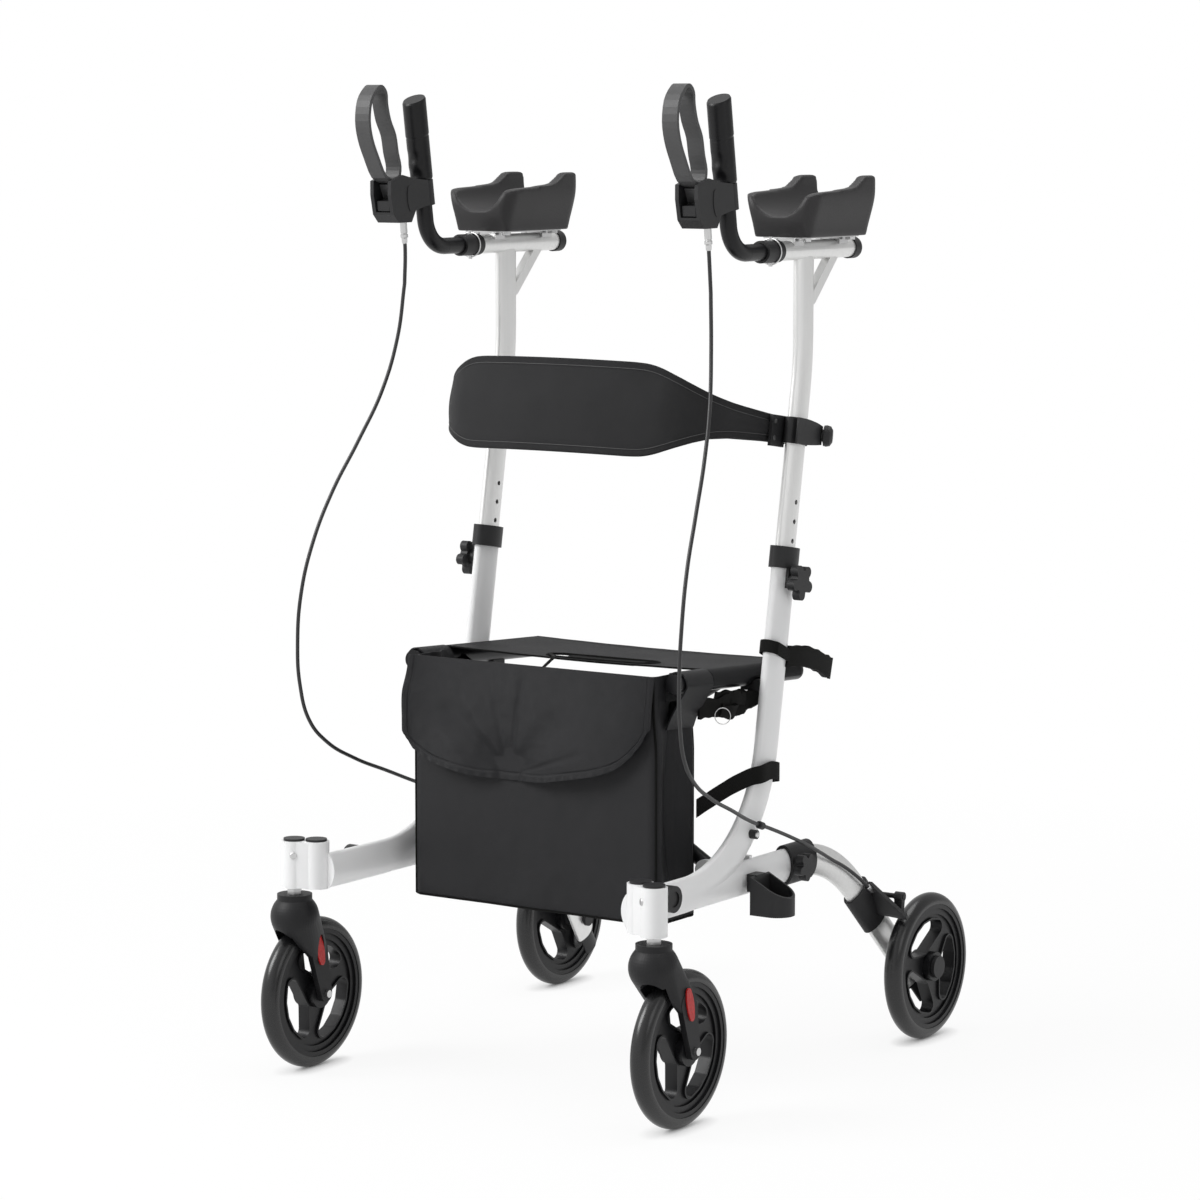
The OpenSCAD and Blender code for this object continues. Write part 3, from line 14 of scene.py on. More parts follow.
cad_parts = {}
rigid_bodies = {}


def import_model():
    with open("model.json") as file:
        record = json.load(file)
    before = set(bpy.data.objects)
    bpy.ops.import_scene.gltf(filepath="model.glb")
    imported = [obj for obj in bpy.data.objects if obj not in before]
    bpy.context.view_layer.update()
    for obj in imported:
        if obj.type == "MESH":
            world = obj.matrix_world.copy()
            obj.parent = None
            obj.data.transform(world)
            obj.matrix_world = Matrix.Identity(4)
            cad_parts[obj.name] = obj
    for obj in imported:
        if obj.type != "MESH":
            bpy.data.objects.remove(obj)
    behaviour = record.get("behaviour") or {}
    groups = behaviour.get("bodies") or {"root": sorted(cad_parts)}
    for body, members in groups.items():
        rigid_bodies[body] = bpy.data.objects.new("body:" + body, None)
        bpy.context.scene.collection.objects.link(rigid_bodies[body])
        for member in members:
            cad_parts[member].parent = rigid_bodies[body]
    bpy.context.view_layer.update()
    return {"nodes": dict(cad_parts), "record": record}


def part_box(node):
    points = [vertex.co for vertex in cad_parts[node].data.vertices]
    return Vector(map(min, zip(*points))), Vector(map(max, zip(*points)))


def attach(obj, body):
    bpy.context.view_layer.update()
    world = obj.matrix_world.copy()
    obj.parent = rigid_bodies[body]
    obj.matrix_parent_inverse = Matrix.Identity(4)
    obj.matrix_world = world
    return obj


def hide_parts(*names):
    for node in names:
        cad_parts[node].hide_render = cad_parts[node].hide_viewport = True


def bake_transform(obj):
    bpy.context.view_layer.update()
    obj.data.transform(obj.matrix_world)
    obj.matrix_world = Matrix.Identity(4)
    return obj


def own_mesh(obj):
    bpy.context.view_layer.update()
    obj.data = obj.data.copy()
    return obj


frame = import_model()
nodes = frame["nodes"]
SIDES = (("left", 1), ("right", -1))
bpy.ops.object.select_all(action="DESELECT")

# %% [markdown]
# The camera stands where the photograph was taken. Its place and lens were solved from the wheels and
# the tubes, so the picture's middle is the lens axis and no shift is needed.

# %% Camera
CAMERA_AT = (2.9105, -4.3457, 1.2563)
CAMERA_PITCH = 7.034
CAMERA_TURN = 34.094
CAMERA_LENS = 119.05
CAMERA_REACH = 60

bpy.ops.object.camera_add(location=CAMERA_AT)
camera = bpy.context.object
camera.name = "photo_camera"
camera.rotation_euler = (math.radians(90 - CAMERA_PITCH), 0, math.radians(CAMERA_TURN))
camera.data.lens = CAMERA_LENS
camera.data.clip_end = CAMERA_REACH
bpy.context.scene.camera = camera
print("camera", camera.name, "lens", camera.data.lens)

# %% [markdown]
# A finish is written as arithmetic. The small class below wraps one socket of a shader, so that
# `1 - mask` or `grain * 0.2` adds the Math node it stands for, and one method adds every other node.


# %% Shader arithmetic
class Thread:
    """A value on its way through a finish."""

    def __init__(self, tree, socket=None):
        self.tree = tree
        self.socket = socket

    def node(self, kind, settings=(), inputs=(), output=0):
        """Adds a node: its settings first, then values or links on its sockets."""
        made = self.tree.nodes.new("ShaderNode" + kind)
        for name, value in dict(settings).items():
            setattr(made, name, value)
        for name, value in dict(inputs).items():
            if isinstance(value, Thread):
                self.tree.links.new(value.socket, made.inputs[name])
            else:
                made.inputs[name].default_value = value
        return Thread(self.tree, made.outputs[output])

    def math(self, operation, first, second):
        return self.node("Math", {"operation": operation}, {0: first, 1: second})

    def __add__(self, other):
        return self.math("ADD", self, other)

    __radd__ = __add__

    def __mul__(self, other):
        return self.math("MULTIPLY", self, other)

    __rmul__ = __mul__

    def __sub__(self, other):
        return self.math("SUBTRACT", self, other)

    def __rsub__(self, other):
        return self.math("SUBTRACT", other, self)

    def sine(self):
        return self.math("SINE", self, 0)


def mottle(thread, scale, detail=3, roughness=0.55, stretch=(1, 1, 1)):
    """Noise on the piece's own coordinates, in spots per metre."""
    place = thread.node("TexCoord", output="Object")
    place = thread.node("Mapping", {}, {"Vector": place, "Scale": stretch})
    sockets = {"Vector": place, "Scale": scale, "Detail": detail, "Roughness": roughness}
    return thread.node("TexNoise", {}, sockets)


def blend_colours(thread, factor, first, second):
    """One colour where factor is 0 and the other where it is 1."""
    sockets = {0: factor, 6: (*first, 1), 7: (*second, 1)}
    return thread.node("Mix", {"data_type": "RGBA"}, sockets, output=2)


def bumps(thread, height, depth):
    return thread.node("Bump", {}, {"Strength": 1.0, "Distance": depth, "Height": height})


def surface(thread, mask, first, second, roughness, relief, depth):
    """The usual links of a finish: two shades mixed by a mask, a roughness and a relief."""
    return {
        "Base Color": blend_colours(thread, mask, first, second),
        "Roughness": roughness,
        "Normal": bumps(thread, relief, depth),
    }


def finish(name, build, **constants):
    """A material whose shader has these constants and the links that build gives."""
    made = bpy.data.materials.new(name)
    made.use_nodes = True
    shader = made.node_tree.nodes["Principled BSDF"]
    for socket, value in constants.items():
        shader.inputs[socket.replace("_", " ")].default_value = value
    for socket, value in build(Thread(made.node_tree)).items():
        made.node_tree.links.new(value.socket, shader.inputs[socket])
    return made


# %% [markdown]
# The stage is a plain white sweep. The floor is matte, and it is lifted towards white only for the
# rays that the eye, metal and glass see, so the walker's soft shadow stays. Close to a wheel an
# ambient occlusion term lifts it less, which paints a dark contact shadow of the tyre on the floor.
# The lamps are large and far away, as softboxes are, and the world fills the shadows. What gloss
# mirrors is dimmer towards the right of the picture, which gives bright tube its bands.

# %% Stage and light
FLOOR_SIZE = 40
FLOOR_SHADE = 0.9
FLOOR_LIFT = 0.91
CONTACT_SHADOW_REACH = 0.024
WORLD_FILL = 0.42
LIFT_FROM, LIFT_TO = 0.7, 2.2
PICTURE_RIGHT = (0.828, 0.561, 0)
DIM_FROM, DIM_TO = -0.35, 0.35
DIM_SHADE = 0.30
AIM = (0, 0, 0.6)
LAMPS = (
    ("key_light", (-2.6, -3.0, 3.4), 2.4, 170),
    ("side_light", (3.6, -0.8, 2.0), 1.8, 14),
    ("top_light", (0.4, 0.6, 4.2), 2.6, 70),
)


def seen_rays(thread):
    """A factor that is 1 for rays from the eye, from gloss and through glass."""
    factor = thread.node("LightPath", output="Is Camera Ray")
    for name in ("Is Glossy Ray", "Is Transmission Ray"):
        factor = thread.math("MAXIMUM", factor, thread.node("LightPath", output=name))
    return factor


def floor_paint(thread):
    """Matte paint lifted towards white where seen, less near things: a painted contact shadow."""
    place = thread.node("TexCoord", output="Object")
    far = thread.node("VectorMath", {"operation": "LENGTH"}, {0: place}, output="Value")
    sockets = {"Value": far, "From Min": LIFT_FROM, "From Max": LIFT_TO, "To Min": FLOOR_LIFT}
    spread = thread.node("MapRange", {}, sockets)
    # Ambient occlusion lifts the floor less near the tyres: a painted contact shadow.
    contact_shadow_ao = thread.node("AmbientOcclusion", {}, {"Distance": CONTACT_SHADOW_REACH}, output="AO")
    matte = thread.node("BsdfDiffuse", {}, {"Color": (FLOOR_SHADE, FLOOR_SHADE, FLOOR_SHADE, 1)})
    lift = seen_rays(thread) * (spread * contact_shadow_ao)
    return thread.node("MixShader", {}, {"Fac": lift, 1: matte, 2: thread.node("Emission")})


def studio_sky(thread):
    """A dim fill for the shadows. The eye sees white, and gloss sees white that dims to the right."""
    place = thread.node("TexCoord", output="Generated")
    sockets = {0: place, 1: PICTURE_RIGHT}
    aside = thread.node("VectorMath", {"operation": "DOT_PRODUCT"}, sockets, output="Value")
    sockets = {"Value": aside, "From Min": DIM_FROM, "From Max": DIM_TO, "To Max": 1 - DIM_SHADE}
    dimmed = thread.node("LightPath", output="Is Glossy Ray") * thread.node("MapRange", {}, sockets)
    fill = thread.node("Background", {}, {"Strength": WORLD_FILL})
    white = thread.node("Background", {}, {"Color": (1, 1, 1, 1)})
    share = seen_rays(thread) * (1 - dimmed)
    return thread.node("MixShader", {}, {"Fac": share, 1: fill, 2: white})


def show(owner, build, kind):
    """Clears the nodes of a material or a world and shows the shader that build gives."""
    owner.use_nodes = True
    tree = owner.node_tree
    tree.nodes.clear()
    shader = build(Thread(tree))
    tree.links.new(shader.socket, tree.nodes.new("ShaderNodeOutput" + kind).inputs["Surface"])
    return owner


def softbox(name, at, size, watts):
    """One square lamp of that size, turned towards the walker."""
    bpy.ops.object.light_add(type="AREA", location=at)
    lamp = bpy.context.object
    lamp.name = name
    lamp.data.size = size
    lamp.data.energy = watts
    lamp.rotation_euler = (Vector(AIM) - Vector(at)).to_track_quat("-Z", "Y").to_euler()


bpy.ops.mesh.primitive_plane_add(size=FLOOR_SIZE, location=(0, 0, 0))
floor = bpy.context.object
floor.name = "floor"
floor.data.materials.append(show(bpy.data.materials.new("floor_paint"), floor_paint, "Material"))
bpy.context.scene.world = show(bpy.data.worlds.new("studio"), studio_sky, "World")
bpy.context.scene.view_settings.view_transform = "Standard"
for lamp in LAMPS:
    softbox(*lamp)
print("stage and", len(LAMPS), "lamps")

# %% [markdown]
# Most of the walker is painted tube and moulded plastic. Powder paint is not smooth: it has the fine
# swell of an orange's skin. Moulded plastic has a spark-eroded grain, and drawn tube has faint streaks
# along its length. Each finish gets that relief and a little change of gloss.

# %% Finishes of the rigid parts
POWDER_WHITE = (0.90, 0.90, 0.90)
POWDER_SHADE = (0.85, 0.855, 0.86)
SILVER = (0.82, 0.82, 0.81)
SILVER_DARK = (0.74, 0.74, 0.735)
ZINC = (0.66, 0.66, 0.65)
ZINC_DARK = (0.52, 0.52, 0.53)
RED = (0.58, 0.020, 0.018)
RED_DARK = (0.36, 0.008, 0.008)
# Each black has its pale and dark shade, roughness, depth of grain and strength of mirror.
BLACKS = {
    "moulded_black": ((0.024, 0.024, 0.025), (0.0155, 0.0155, 0.0165), 0.42, 0.00012, 0.30),
    "wheel_black": ((0.009, 0.009, 0.010), (0.005, 0.005, 0.006), 0.34, 0.00008, 0.30),
    "tyre_black": ((0.012, 0.012, 0.0125), (0.008, 0.008, 0.0085), 0.20, 0.00001, 0.50),
    "gloss_black_coat": ((0.010, 0.010, 0.011), (0.006, 0.006, 0.007), 0.26, 0.00005, 0.25),
    "grip_rubber": ((0.008, 0.008, 0.009), (0.0045, 0.0045, 0.005), 0.30, 0.0001, 0.27),
    "lever_nylon": ((0.070, 0.070, 0.071), (0.052, 0.052, 0.053), 0.40, 0.00015, 0.40),
    "fork_nylon": ((0.016, 0.016, 0.017), (0.009, 0.009, 0.010), 0.42, 0.0001, 0.25),
    "cable_sleeve": ((0.020, 0.020, 0.021), (0.012, 0.012, 0.013), 0.32, 0.00004, 0.50),
    "sewing_thread": ((0.075, 0.075, 0.076), (0.05, 0.05, 0.051), 0.60, 0.00004, 0.50),
}


def powder(thread):
    swell = mottle(thread, scale=420, detail=2)
    cloud = mottle(thread, scale=9)
    rough = 0.28 + 0.14 * cloud
    return surface(thread, cloud, POWDER_WHITE, POWDER_SHADE, rough, relief=swell, depth=0.00012)


def drawn_tube(thread):
    streaks = mottle(thread, scale=260, stretch=(1, 1, 0.02))
    cloud = mottle(thread, scale=14)
    rough = 0.30 + 0.10 * cloud + 0.06 * streaks
    return surface(thread, streaks, SILVER, SILVER_DARK, rough, relief=streaks, depth=0.00003)


def black(name):
    """A moulded black with its spark-eroded grain."""
    pale, dark, rough, depth, mirror = BLACKS[name]

    def moulded(thread):
        grain = mottle(thread, scale=1500, detail=2)
        cloud = mottle(thread, scale=22)
        return surface(thread, cloud, dark, pale, rough + 0.12 * grain, grain, depth)

    return finish(name, moulded, Specular_IOR_Level=mirror)


def plated(thread):
    haze = mottle(thread, scale=60)
    scratches = mottle(thread, scale=900, stretch=(1, 0.1, 1))
    rough = 0.22 + 0.16 * haze
    return surface(thread, haze, ZINC, ZINC_DARK, rough, relief=scratches, depth=0.00003)


def prisms(thread):
    """A reflector: rows of small cube corners under a clear red face."""
    place = thread.node("TexCoord", output="Object")
    cells = thread.node("TexVoronoi", {"feature": "F1"}, {"Vector": place, "Scale": 520.0})
    return {
        "Base Color": blend_colours(thread, cells, RED, RED_DARK),
        "Normal": bumps(thread, cells, 0.0004),
    }


white_coat = finish("white_powder_coat", powder, Coat_Weight=0.15, Coat_Roughness=0.2)
satin_tube = finish("satin_silver_tube", drawn_tube, Metallic=0.7)
steel = finish("zinc_plated_steel", plated, Metallic=1.0)
black_plastic = black("moulded_black")
wheel_plastic = black("wheel_black")
tyre_rubber = black("tyre_black")
black_coat = black("gloss_black_coat")
grip_rubber = black("grip_rubber")
lever_plastic = black("lever_nylon")
fork_plastic = black("fork_nylon")
cable_black = black("cable_sleeve")
thread_grey = black("sewing_thread")
reflector_red = finish("reflector_red", prisms, Roughness=0.30, Coat_Weight=0.2, Specular_IOR_Level=0.2)
print("finishes", [m.name for m in bpy.data.materials])

# %% [markdown]
# Every CAD node carries the name of its material slot. A table from slot to finish dresses them all,
# and whatever a softer piece stands in for later is hidden then.

# %% Dress the CAD nodes
FINISH_OF_SLOT = {
    "white_coat": white_coat,
    "black_coat": black_coat,
    "satin_tube": satin_tube,
    "steel": steel,
    "black_plastic": black_plastic,
    "wheel_plastic": wheel_plastic,
    "tyre": tyre_rubber,
    "pad": black_plastic,
    "grip": grip_rubber,
    "cable": black_coat,
    "cloth": black_plastic,
    "strap": black_plastic,
    "reflector": reflector_red,
}
FINISH_OF_KIND = {"brake_lever": lever_plastic, "caster_fork": fork_plastic}
slot_of_node = {row["node"]: row["material_slot"] for row in frame["record"]["subparts"]}
for name, piece in nodes.items():
    kind = name.split("_", 1)[-1]
    chosen = FINISH_OF_KIND.get(kind, FINISH_OF_SLOT[slot_of_node[name]])
    for held in piece.material_slots:
        held.material = chosen
print("dressed", len(slot_of_node), "nodes")

# %% [markdown]
# Cloth finishes need a pattern that follows the surface, so they read the piece's own UV map, which is
# laid out in metres. Nylon is a plain weave: two crossed waves give its threads. Webbing is coarser and
# has ribs across it. Foam covers have a fine leather-like grain instead, which needs no map.

# %% Finishes of the soft parts
TURN = 2 * math.pi
FOAM = (0.035, 0.034, 0.035)
FOAM_DARK = (0.022, 0.021, 0.022)
# Each cloth has its pale and dark shade, thread pitch both ways, depth, roughness and mirror.
CLOTHS = {
    "bag_nylon": ((0.023, 0.023, 0.025), (0.009, 0.009, 0.010), 0.0011, 0.0011, 0.00012, 0.38, 0.18),
    "seat_nylon": ((0.017, 0.017, 0.018), (0.008, 0.008, 0.009), 0.0013, 0.0013, 0.0001, 0.50, 0.11),
    "webbing": ((0.013, 0.013, 0.012), (0.005, 0.005, 0.005), 0.0042, 0.0016, 0.0003, 0.60, 0.10),
    "backrest_cloth": ((0.034, 0.034, 0.035), (0.014, 0.014, 0.015), 0.0014, 0.0014, 0.00014, 0.52, 0.12),
}


def threads(thread, pitch_u, pitch_v):
    """Crossed waves: the height of a plain weave with that pitch in metres."""
    place = thread.node("UVMap", {"uv_map": "UVMap"})
    split = thread.node("SeparateXYZ", {}, {0: place})
    other = Thread(split.tree, split.socket.node.outputs[1])
    return (split * (TURN / pitch_u)).sine() * (other * (TURN / pitch_v)).sine()


def cloth(name):
    """Woven cloth, with slow changes of shade where it has been handled."""
    pale, dark, pitch_u, pitch_v, depth, rough, mirror = CLOTHS[name]

    def woven(thread):
        weave = threads(thread, pitch_u, pitch_v)
        cloud = mottle(thread, scale=16, detail=4)
        shade = 0.5 + 0.22 * weave + 0.6 * (cloud - 0.5)
        return surface(thread, shade, dark, pale, rough + 0.12 * cloud, weave, depth)

    return finish(name, woven, Specular_IOR_Level=mirror)


def skin_grain(thread):
    """The cover of a moulded foam pad: small cells like pressed leather."""
    place = thread.node("TexCoord", output="Object")
    sockets = {"Vector": place, "Scale": 620.0, "Smoothness": 0.6}
    cells = thread.node("TexVoronoi", {"feature": "SMOOTH_F1"}, sockets)
    cloud = mottle(thread, scale=18)
    rough = 0.40 + 0.16 * cloud
    return surface(thread, cloud, FOAM_DARK, FOAM, rough, relief=cells, depth=0.00018)


bag_nylon = cloth("bag_nylon")
seat_nylon = cloth("seat_nylon")
webbing = cloth("webbing")
backrest_cloth = cloth("backrest_cloth")
pad_skin = finish("pad_skin", skin_grain, Specular_IOR_Level=0.3)
print("soft finishes", *CLOTHS, pad_skin.name)

# %% [markdown]
# A few habits serve every piece. Nothing else may be selected when an operator runs, a finished piece
# has its place in its mesh and not in its object, and a cloth's points are set from two numbers, across
# and along, so that its UV map can be scaled to metres.


# %% Helpers for pieces
def deselect():
    bpy.ops.object.select_all(action="DESELECT")


def only(piece):
    """Selects one piece and nothing else."""
    deselect()
    piece.select_set(True)
    bpy.context.view_layer.objects.active = piece


def settle(piece, name, material, angle=35):
    """Names a piece, puts its place into its mesh, smooths it and dresses it."""
    only(piece)
    piece.name = name
    bpy.ops.object.transform_apply(location=True, rotation=True, scale=True)
    bpy.ops.object.shade_smooth_by_angle(angle=math.radians(angle))
    piece.data.materials.clear()
    piece.data.materials.append(material)
    return piece


def modify(piece, kind, **settings):
    """Adds a modifier, sets it and applies it."""
    only(piece)
    added = piece.modifiers.new(kind.lower(), kind)
    for name, value in settings.items():
        setattr(added, name, value)
    bpy.ops.object.modifier_apply(modifier=added.name)


def outward(piece, merge=1e-5):
    """Joins doubled points and turns every face outwards."""
    only(piece)
    bpy.ops.object.mode_set(mode="EDIT")
    bpy.ops.mesh.select_all(action="SELECT")
    bpy.ops.mesh.remove_doubles(threshold=merge)
    bpy.ops.mesh.normals_make_consistent(inside=False)
    bpy.ops.object.mode_set(mode="OBJECT")


def copy_across(piece, sign):
    """The piece itself for the left, or a mirrored copy with its own mesh for the right."""
    if sign > 0:
        return piece
    copy = piece.copy()
    copy.data = piece.data.copy()
    for key in [k for k in copy.keys() if k.startswith("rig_")]:
        del copy[key]
    copy.parent = None
    bpy.context.collection.objects.link(copy)
    copy.data.transform(Matrix.Diagonal((-1, 1, 1, 1)))
    copy.data.flip_normals()
    return copy


def mirrored(points, sign):
    """The same points for the left, or mirrored for the right."""
    return [(sign * x, y, z) for x, y, z in points]


def carried(piece, body):
    """Gives a piece the body that carries it."""
    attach(piece, body)


def cloth_grid(across, along, size, place):
    """A grid of cloth whose points go where place(u, v) says, with its UV map in metres."""
    deselect()
    bpy.ops.mesh.primitive_grid_add(x_subdivisions=across, y_subdivisions=along, size=1)
    piece = bpy.context.object
    for spot in piece.data.uv_layers.active.data:
        spot.uv = (spot.uv[0] * size[0], spot.uv[1] * size[1])
    for point in piece.data.vertices:
        point.co = place(point.co.x + 0.5, point.co.y + 0.5)
    return piece


def ramp(x, low, high):
    """0 before low, 1 after high, and a smooth climb between."""
    t = min(max((x - low) / (high - low), 0.0), 1.0)
    return t * t * (3 - 2 * t)


def hump(x, middle, reach):
    """A bell of height 1 round the middle that fades out at that reach."""
    t = min(abs(x - middle) / reach, 1.0)
    return (1 - t * t) ** 2


def ripple(x, y, scale, seed):
    """Smooth noise from -1 to 1, the same in every run."""
    return noise.noise(Vector((x * scale, y * scale, seed)))


def read_off(x, places, values, reach):
    """A value read off a table by place, averaged over that reach so that its corners are soft."""
    near = [x + reach * share for share in (-1, -0.5, 0, 0.5, 1)]
    return float(np.mean(np.interp(near, places, values)))


def curve_at(points, t):
    """A point of the smooth curve through these points, with t from 0 to 1."""
    last = len(points) - 1
    step = min(int(t * last), last - 1)
    f = t * last - step
    before, first, second, after = (Vector(points[min(max(step + d, 0), last)]) for d in (-1, 0, 1, 2))
    bend = 2 * before - 5 * first + 4 * second - after
    twist = 3 * first - before - 3 * second + after
    return first + 0.5 * ((second - before) * f + bend * f * f + twist * f ** 3)


def ribbon(points, halves, thick, name, material, fray=0.0, steps=90):
    """A strip along a curve. Its half width is one vector, or one for each point."""
    if not hasattr(halves[0], "__len__"):
        halves = [halves] * len(points)
    long = sum((Vector(b) - Vector(a)).length for a, b in zip(points, points[1:]))
    wide = 2 * Vector(halves[0]).length

    def place(u, v):
        edge = 2 * u - 1
        rough = fray * ripple(v * long, edge, scale=90, seed=4.4)
        half = curve_at(halves, v)
        return curve_at(points, v) + half * edge + half.normalized() * rough * edge

    strip = cloth_grid(10, steps, (wide, long), place)
    modify(strip, "SOLIDIFY", thickness=thick, offset=0)
    outward(strip)
    return settle(strip, name, material, angle=50)


def turned(profile, start, end, name, material, sides=32):
    """A turned piece: each step of its profile is a radius and a share of the way from start to end."""
    axis = Vector(end) - Vector(start)
    side = axis.orthogonal().normalized()
    other = axis.normalized().cross(side)

    def place(u, v):
        radius, share = profile[round(v * (len(profile) - 1))]
        way = side * math.cos(u * TURN) + other * math.sin(u * TURN)
        return Vector(start) + axis * share + way * radius

    piece = cloth_grid(sides, len(profile) - 1, (1, 1), place)
    outward(piece, merge=1e-6)
    return settle(piece, name, material, angle=30)


# %% [markdown]
# The brake cables are held at both ends: each leaves its housing, swings out in front and is clipped to
# the frame before it reaches its shoe. A curve through the CAD's own route points, given a round bevel,
# is smoother than the CAD's faceted tube. It is made in two parts, a short top by the housing and the
# rest, since on the walker the top moves with the handle while the rest bends between the post that
# slides and the frame that stays. Both parts are left where they stand, carried by no body.

# %% Brake cables
CABLE_ROUTE = (
    (0.237, -0.1558, 1.102), (0.237, -0.153, 1.075), (0.239, -0.152, 1.030), (0.245, -0.160, 0.960),
    (0.256, -0.180, 0.890), (0.270, -0.214, 0.825), (0.283, -0.254, 0.760), (0.291, -0.286, 0.695),
    (0.296, -0.305, 0.630), (0.297, -0.312, 0.565), (0.296, -0.309, 0.510), (0.293, -0.294, 0.462),
    (0.288, -0.264, 0.430), (0.281, -0.214, 0.402), (0.273, -0.152, 0.377), (0.265, -0.092, 0.353),
    (0.262, -0.041, 0.336), (0.261, 0.016, 0.315), (0.260, 0.064, 0.2955), (0.257, 0.098, 0.281),
    (0.256, 0.127, 0.2675), (0.257, 0.155, 0.2545), (0.260, 0.184, 0.237), (0.264, 0.210, 0.2175),
    (0.2645, 0.213, 0.215),
)
CABLE_CUT = 2
CABLE_CLIPPED = 15
CABLE_R = 0.0025
ADJUSTER = (
    (0, -0.42), (0.0040, -0.42), (0.0046, -0.40), (0.0046, 0.20), (0.0040, 0.22), (0.0040, 0.26),
    (0.0050, 0.28), (0.0050, 0.42), (0.0038, 0.46), (0.0036, 0.68), (0.0030, 0.72), (0, 0.72),
)
CLIP_RING = ((0, 0), (0.0042, 0), (0.0050, 0.1), (0.0050, 0.9), (0.0042, 1), (0, 1))
CLIP_ALONG = ((0.2641, -0.073, 0.3462), (0.2632, -0.061, 0.3422))
SCREW = ((0, 0), (0.0042, 0), (0.0042, 0.4), (0.0034, 0.8), (0.0018, 1), (0, 1))
SCREW_ALONG = ((0.2580, -0.0676, 0.3316), (0.2606, -0.0676, 0.3316))
FERRULE = ((0, -0.8), (0.0030, -0.8), (0.0036, -0.6), (0.0036, 2.2), (0.0028, 2.6), (0, 2.6))


def sleeve(points, name, radius, material):
    """A round tube along a smooth curve through these points."""
    deselect()
    bpy.ops.curve.primitive_bezier_curve_add()
    line = bpy.context.object
    spline = line.data.splines[0]
    spline.bezier_points.add(len(points) - 2)
    for knot, point in zip(spline.bezier_points, points):
        knot.co = point
        knot.handle_left_type = knot.handle_right_type = "AUTO"
    line.data.dimensions = "3D"
    line.data.resolution_u = 10
    line.data.bevel_depth = radius
    line.data.bevel_resolution = 4
    line.data.use_fill_caps = True
    only(line)
    bpy.ops.object.convert(target="MESH")
    tube = bpy.context.object
    outward(tube)
    return settle(tube, name, material, angle=50)


for side, sign in SIDES:
    handle, upper, held = side + "_handle", side + "_upper", side + "_frame"
    route = mirrored(CABLE_ROUTE, sign)
    top = sleeve(route[: CABLE_CUT + 1], side + "_cable_top", CABLE_R, cable_black)
    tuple(route[1])
    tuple(route[CABLE_CUT])
    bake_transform(top)
    rest = sleeve(route[CABLE_CUT:], side + "_cable", CABLE_R, cable_black)
    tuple(route[CABLE_CUT])
    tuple(route[CABLE_CLIPPED])
    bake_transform(rest)
    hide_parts(side + "_brake_cable")
    carried(turned(ADJUSTER, *route[:2], side + "_adjuster", steel), handle)
    carried(turned(FERRULE, *route[-2:], side + "_ferrule", steel), held)
    clip = turned(CLIP_RING, *mirrored(CLIP_ALONG, sign), side + "_cable_clip", black_plastic)
    carried(clip, held)
    carried(turned(SCREW, *mirrored(SCREW_ALONG, sign), side + "_clip_screw", steel), held)
print("cables", [o.name for o in bpy.data.objects if "cable" in o.name and o.type == "MESH"])

# %% [markdown]
# The twin barrels of a caster are welded along a flat bead, and a small bolt shows on the outer one.

# %% Barrel welds and bolts
BARRELS = ((0.2535, -0.3313, 0.280), (0.2673, -0.3372, 0.280), (0.2811, -0.3430, 0.280))
WELD_HALF = (0, 0, 0.0302)
WELD_T = 0.0310
BOLT = ((0, 0), (0.0046, 0), (0.0046, 0.6), (0.0038, 0.9), (0.0018, 0.96), (0, 0.8))
BOLT_ALONG = ((0.2721, -0.3564, 0.293), (0.2709, -0.3581, 0.293))

for side, sign in SIDES:
    weld = ribbon(mirrored(BARRELS, sign), WELD_HALF, WELD_T, side + "_barrel_weld", white_coat, steps=12)
    carried(weld, side + "_frame")
    bolt = turned(BOLT, *mirrored(BOLT_ALONG, sign), side + "_barrel_bolt", steel, sides=24)
    carried(bolt, side + "_frame")
print("welds and bolts on", len(SIDES), "sides")

# %% [markdown]
# The hand grip is a rubber sleeve. Its top is cut at a slant, a fine ring runs round its middle, and
# below the ring two hollows in front take the fingers. It is shaped as rings round the handle's axis.
# The lever turns on a drum in the mouth of its housing, behind a small stop.

# %% Hand grips
HANDLE_AT = (0.237, -0.103, 1.077)
HANDLE_LEAN = math.radians(8.5)
GRIP_UP = (0.0905, 0.1960)
GRIP_R = 0.0153
GRIP_SLANT = 0.0045
GRIP_CAP = 0.06
GRIP_GRID = (64, 100)
RING_SHARE = 0.54
RING_STEP, RING_STEP_SHARE = 0.0004, 0.01
RING_GROOVE, RING_GROOVE_SHARE = 0.0006, 0.012
HOLLOWS = ((0.0020, 0.30), (0.0030, 0.06))
HOLLOW_SHARE = 0.11
TOP_ROUND, TOP_ROUND_SHARE = 0.0012, 0.025
FOOT_ROUND, FOOT_ROUND_SHARE = 0.0010, 0.02
LEVER_PIVOT = (0.062, 0.072)
ROOT_HALF = 0.0068
STOP_FORWARD = (0.0745, 0.0810, 0.0875)
STOP_UP, STOP_HALF, STOP_T = 0.0690, 0.0065, 0.0190
LEVER_ROOT = ((0, 0), (0.0105, 0), (0.0115, 0.06), (0.0115, 0.94), (0.0105, 1), (0, 1))


def on_handle(forward, up, aside):
    """World place of a point given forward of the left handle's axis, up it and aside."""
    y = -forward * math.cos(HANDLE_LEAN) - up * math.sin(HANDLE_LEAN)
    z = up * math.cos(HANDLE_LEAN) - forward * math.sin(HANDLE_LEAN)
    return Vector((HANDLE_AT[0] + aside, HANDLE_AT[1] + y, HANDLE_AT[2] + z))


